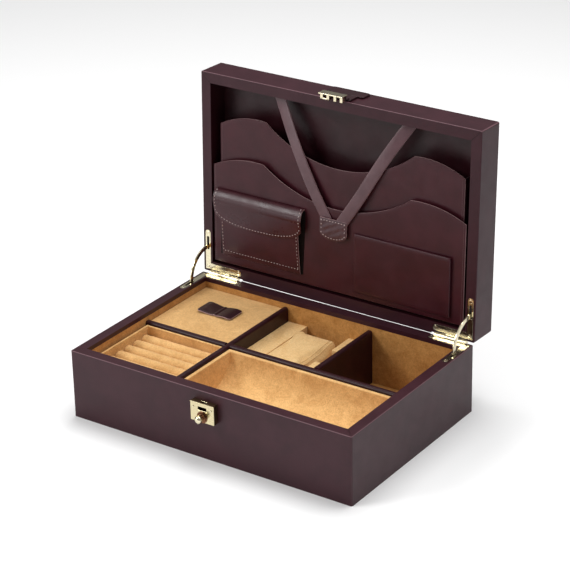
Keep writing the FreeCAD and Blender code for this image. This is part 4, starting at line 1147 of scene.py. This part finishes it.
def swollen(made, cap):
    """The block after its cover has been blown out by pressure for twenty steps."""
    start = [v.co.copy() for v in made.data.vertices]
    cloth = made.modifiers.new("cover", "CLOTH")
    cloth.settings.quality = 6
    cloth.settings.mass = 0.25
    cloth.settings.tension_stiffness = 18
    cloth.settings.compression_stiffness = 18
    cloth.settings.shear_stiffness = 8
    cloth.settings.bending_stiffness = 0.6
    cloth.settings.use_pressure = True
    cloth.settings.uniform_pressure_force = 4.0
    cloth.settings.effector_weights.gravity = 0.0
    cloth.collision_settings.use_collision = False
    cloth.point_cache.frame_start, cloth.point_cache.frame_end = 1, 20
    for step in range(1, 21):
        bpy.context.scene.frame_set(step)
    made = baked(made)
    bpy.context.scene.frame_set(1)
    for vertex, origin in zip(made.data.vertices, start):
        move = vertex.co - origin
        if move.length > cap:
            vertex.co = origin + move.normalized() * cap
    return made


pillow = pillow_start()
pillow = swollen(pillow, 2.2 * MM)
for vertex in pillow.data.vertices:
    co = vertex.co
    co.x = max(co.x, PILLOW_LOW.x - 0.25 * MM)
    co.y = min(max(co.y, PILLOW_LOW.y - 0.3 * MM), PILLOW_HIGH.y + 0.6 * MM)
    co.z = min(max(co.z, PILLOW_LOW.z), PILLOW_HIGH.z + 0.7 * MM)
    co.x = min(co.x, PILLOW_HIGH.x + 1.2 * MM)
    if co.x < PILLOW_LOW.x + 5 * MM and co.z > PILLOW_HIGH.z - 5 * MM and co.y > PILLOW_LOW.y + 4 * MM:
        co.z = max(co.z, PILLOW_HIGH.z - 0.1 * MM)
        if co.x < PILLOW_LOW.x + 2.6 * MM:
            co.x = PILLOW_LOW.x - 0.2 * MM
sub = pillow.modifiers.new("smooth", "SUBSURF")
sub.levels = sub.render_levels = 1
pillow = closed(baked(pillow), 80.0)

# the sewn edge where the pillow's top meets its end panel: two fine ridges
pillow_bm = bmesh.new()
pillow_bm.from_mesh(pillow.data)

pillow_surface = BVHTree.FromBMesh(pillow_bm)
ridges = []
for x in (14.2, 17.4):
    run = []
    for k in range(35):
        y = PILLOW_LOW.y / MM + 1.5 + (PILLOW_HIGH.y - PILLOW_LOW.y - 3 * MM) / MM * k / 34
        bow = 1.2 * math.sin(math.pi * k / 34) ** 0.7
        hit = pillow_surface.ray_cast(base_at(x + bow, y, 90.0), Vector((0, 0, -1)))
        if hit[0]:
            run.append(hit[0] + Vector((0, 0, 0.05 * MM)))
    ridges.append(run)
pillow_bm.free()
ridge_curve = bpy.data.curves.new("pillow_ridges", "CURVE")
ridge_curve.dimensions = "3D"
ridge_curve.bevel_depth = 0.5 * MM
ridge_curve.bevel_resolution = 3
ridge_curve.use_fill_caps = True
for run in ridges:
    spline = ridge_curve.splines.new("POLY")
    spline.points.add(len(run) - 1)
    for spot, point in zip(spline.points, run):
        spot.co = (*point, 1.0)
ridge_curve.materials.append(SUEDE_PAINTED_LIGHT)
ridge_mesh = baked(linked("pillow_ridges", ridge_curve))
fitted(closed(joined("watch_pillow_suede_cover", pillow, ridge_mesh), 80.0), "watch_pillow")

# --- hinges, stays, lock and hasp ---------------------------------------------------------------------
for word in ("left", "right"):
    worked("base_hinge_leaf_" + word, 0.22, 3)
    worked("lid_hinge_leaf_" + word, 0.22, 3)
    worked("stay_" + word, 0.3, 3)
lock_case = worked("lock_case", 0.45, 3, GILT_LOCK)
# the lock case's sides and top take the painted reflection of the dark leather round them
lock_case.data.materials.append(LOCK_SIDES_PAINTED_REFLECTION)
for face in lock_case.data.polygons:
    if face.normal.y > -0.5 and face.center.y > -0.1272:
        face.material_index = 1
# the rosette behind the knob is painted shade
worked("lock_rosette", 0.2, 3, GILT_PAINTED_SHADE)
worked("lock_rivets", 0.3, 3)
worked("hasp", 0.35, 3)
# the hasp's staple, drawn with the lid shut
staple_spans = ((-14.2, -2.8), (-123.4, -121.7), (70.5, 74.9))
staple_verts = [base_at(x, y, z) for x in staple_spans[0] for y in staple_spans[1] for z in staple_spans[2]]
BLOCK_FACES = [(0, 1, 3, 2), (4, 6, 7, 5), (0, 4, 5, 1), (2, 3, 7, 6), (0, 2, 6, 4), (1, 5, 7, 3)]
staple = softened(closed(mesh_of("hasp_staple", staple_verts, BLOCK_FACES, GILT)), 0.35, 3)
staple.data.transform(SWUNG_OPEN)
beside(closed(staple), "hasp")
worked("hasp_tongue", 0.6, 3, INNER_LEATHER)
worked("hasp_root", 0.7, 3, INNER_LEATHER)

# two screws along each leaf's side arm and back arm, one in its corner
LEAF_X, LEAF_Y = 173.7, 114.2
END_X, END_Y = 131.5, 73.0
screw_spots = [(s * x, y) for s in (-1, 1) for x, y in ((LEAF_X, END_Y), (END_X, LEAF_Y), (LEAF_X, LEAF_Y))]
base_heads = mesh_of("base_screw_heads", [base_at(x, y, 79.78) for x, y in screw_spots], [], GILT)
base_heads = grown(base_heads, SCREW_HEADS, Dome=0.00028, Finish=GILT)
fitted(closed(base_heads), "base_hinge_screws")
lid_heads = mesh_of("lid_screw_heads", [base_at(x, y, 0.0) for x, y in screw_spots], [], GILT)
lid_heads = grown(lid_heads, SCREW_HEADS, Dome=0.00028, Seed=14, Finish=GILT)
faced_down = Matrix.Translation(base_at(0, 0, 80.52)) @ Matrix.Scale(-1, 4, (0, 0, 1))
lid_heads.data.transform(SWUNG_OPEN @ faced_down)
fitted(closed(lid_heads), "lid_hinge_screws")

# the knob is turned, with two flattened wings; its side view is radius and distance from the plate
SPINDLE = [(0.0, 4.0), (1.9, 4.0), (1.9, -0.9)]
COLLAR = [(4.9, -0.9), (5.1, -1.3), (4.7, -1.8), (2.6, -2.2), (2.2, -3.0)]
BALL = [(2.5, -3.8), (3.6, -4.7), (4.3, -6.2), (4.2, -7.8), (3.3, -9.1), (1.8, -9.8), (0.0, -10.0)]
KNOB_PROFILE = SPINDLE + COLLAR + BALL
KNOB_Z = 53.5
FACE_Y = -127.5
knob_verts, knob_faces = [], []
TURNS = 40
for radius, out in KNOB_PROFILE:
    for k in range(TURNS):
        angle = 2 * math.pi * k / TURNS
        knob_verts.append(base_at(radius * math.cos(angle), FACE_Y + out, KNOB_Z + radius * math.sin(angle)))
for i in range(len(KNOB_PROFILE) - 1):
    for k in range(TURNS):
        nxt = (k + 1) % TURNS
        knob_faces.append((i * TURNS + k, i * TURNS + nxt, (i + 1) * TURNS + nxt, (i + 1) * TURNS + k))
knob_body = mesh_of("knob_turned", knob_verts, knob_faces, GILT, GILT_PAINTED_SHADE)
# the spindle and collar near the plate take the painted shade; the ball stays bright
ball_start = (len(SPINDLE) + len(COLLAR) - 1) * TURNS
for index, face in enumerate(knob_body.data.polygons):
    face.material_index = 1 if index < ball_start else 0
closed(knob_body, 40.0)
wing_spans = ((-1.3, 1.3), (FACE_Y - 8.6, FACE_Y - 3.4), (KNOB_Z - 4.6, KNOB_Z + 4.6))
wing_verts = [base_at(x, y, z) for x in wing_spans[0] for y in wing_spans[1] for z in wing_spans[2]]
wings = closed(softened(closed(mesh_of("knob_wings", wing_verts, BLOCK_FACES, GILT)), 1.1, 4))
fitted(joined("lock_knob_turned", knob_body, wings), "lock_knob")

# --- floor, lights and camera -------------------------------------------------------------------------
FLOOR_HALF = 6.0
floor_corners = [(x * FLOOR_HALF, y * FLOOR_HALF, 0) for x, y in ((-1, -1), (1, -1), (1, 1), (-1, 1))]
floor_white, n, surface, where = new_material("floor_white")
surface["Base Color"].default_value = (0.93, 0.93, 0.93, 1.0)
surface["Roughness"].default_value = 0.9
surface["Specular IOR Level"].default_value = 0.1
mesh_of("studio_floor", floor_corners, [(0, 1, 2, 3)], floor_white)

AIM = Vector((0.0, 0.02, 0.12))


def soft_box(name, place, size, power, tint=(1.0, 1.0, 1.0)):
    """A square studio light that looks at the case."""
    data = bpy.data.lights.new(name, "AREA")
    data.shape = "RECTANGLE"
    data.size, data.size_y = size
    data.energy = power
    data.color = tint
    lamp = linked(name, data)
    lamp.location = place
    lamp.rotation_mode = "QUATERNION"
    lamp.rotation_quaternion = (AIM - Vector(place)).to_track_quat("-Z", "Y")


soft_box("light_top", (0.1, 0.45, 1.78), (1.5, 0.9), 26.5)
soft_box("light_key", (-1.3, -1.4, 1.45), (1.0, 0.6), 22.0)
soft_box("light_front", (-1.5, -1.9, 0.45), (1.3, 0.7), 9.0)
soft_box("light_right", (2.2, 0.1, 0.9), (0.7, 1.1), 1.6)

world = bpy.data.worlds.new("studio")
world.use_nodes = True
sky = Nodes(world.node_tree)
direction = sky.add("ShaderNodeTexCoord").outputs["Generated"]
rise = sky.add("ShaderNodeSeparateXYZ")
sky.join(direction, rise.inputs[0])
brightness = sky.spread(rise.outputs["Z"], 0.05, 0.75, 0.10, 0.52)
sky.join(brightness, world.node_tree.nodes["Background"].inputs["Strength"])
world.node_tree.nodes["Background"].inputs["Color"].default_value = (1.0, 1.0, 1.0, 1.0)
bpy.context.scene.world = world
bpy.context.scene.view_settings.view_transform = "Standard"
bpy.context.scene.view_settings.look = "None"

YAW, PITCH, ROLL = -0.609836832, 0.43695, -0.0219566013
ahead = Vector((math.sin(YAW) * math.cos(PITCH), math.cos(YAW) * math.cos(PITCH), -math.sin(PITCH)))
side = ahead.cross(Vector((0, 0, 1))).normalized()
above = side.cross(ahead)
camera_right = side * math.cos(ROLL) + above * math.sin(ROLL)
camera_up = above * math.cos(ROLL) - side * math.sin(ROLL)
lens = bpy.data.cameras.new("view")
lens.sensor_width = 36.0
lens.lens = 139.75
lens.clip_start, lens.clip_end = 0.1, 30.0
camera = linked("view", lens)
turn = Matrix((camera_right, camera_up, -ahead)).transposed().to_4x4()
camera.matrix_world = Matrix.Translation((1.23092, -1.73419, 1.14727)) @ turn
bpy.context.scene.camera = camera
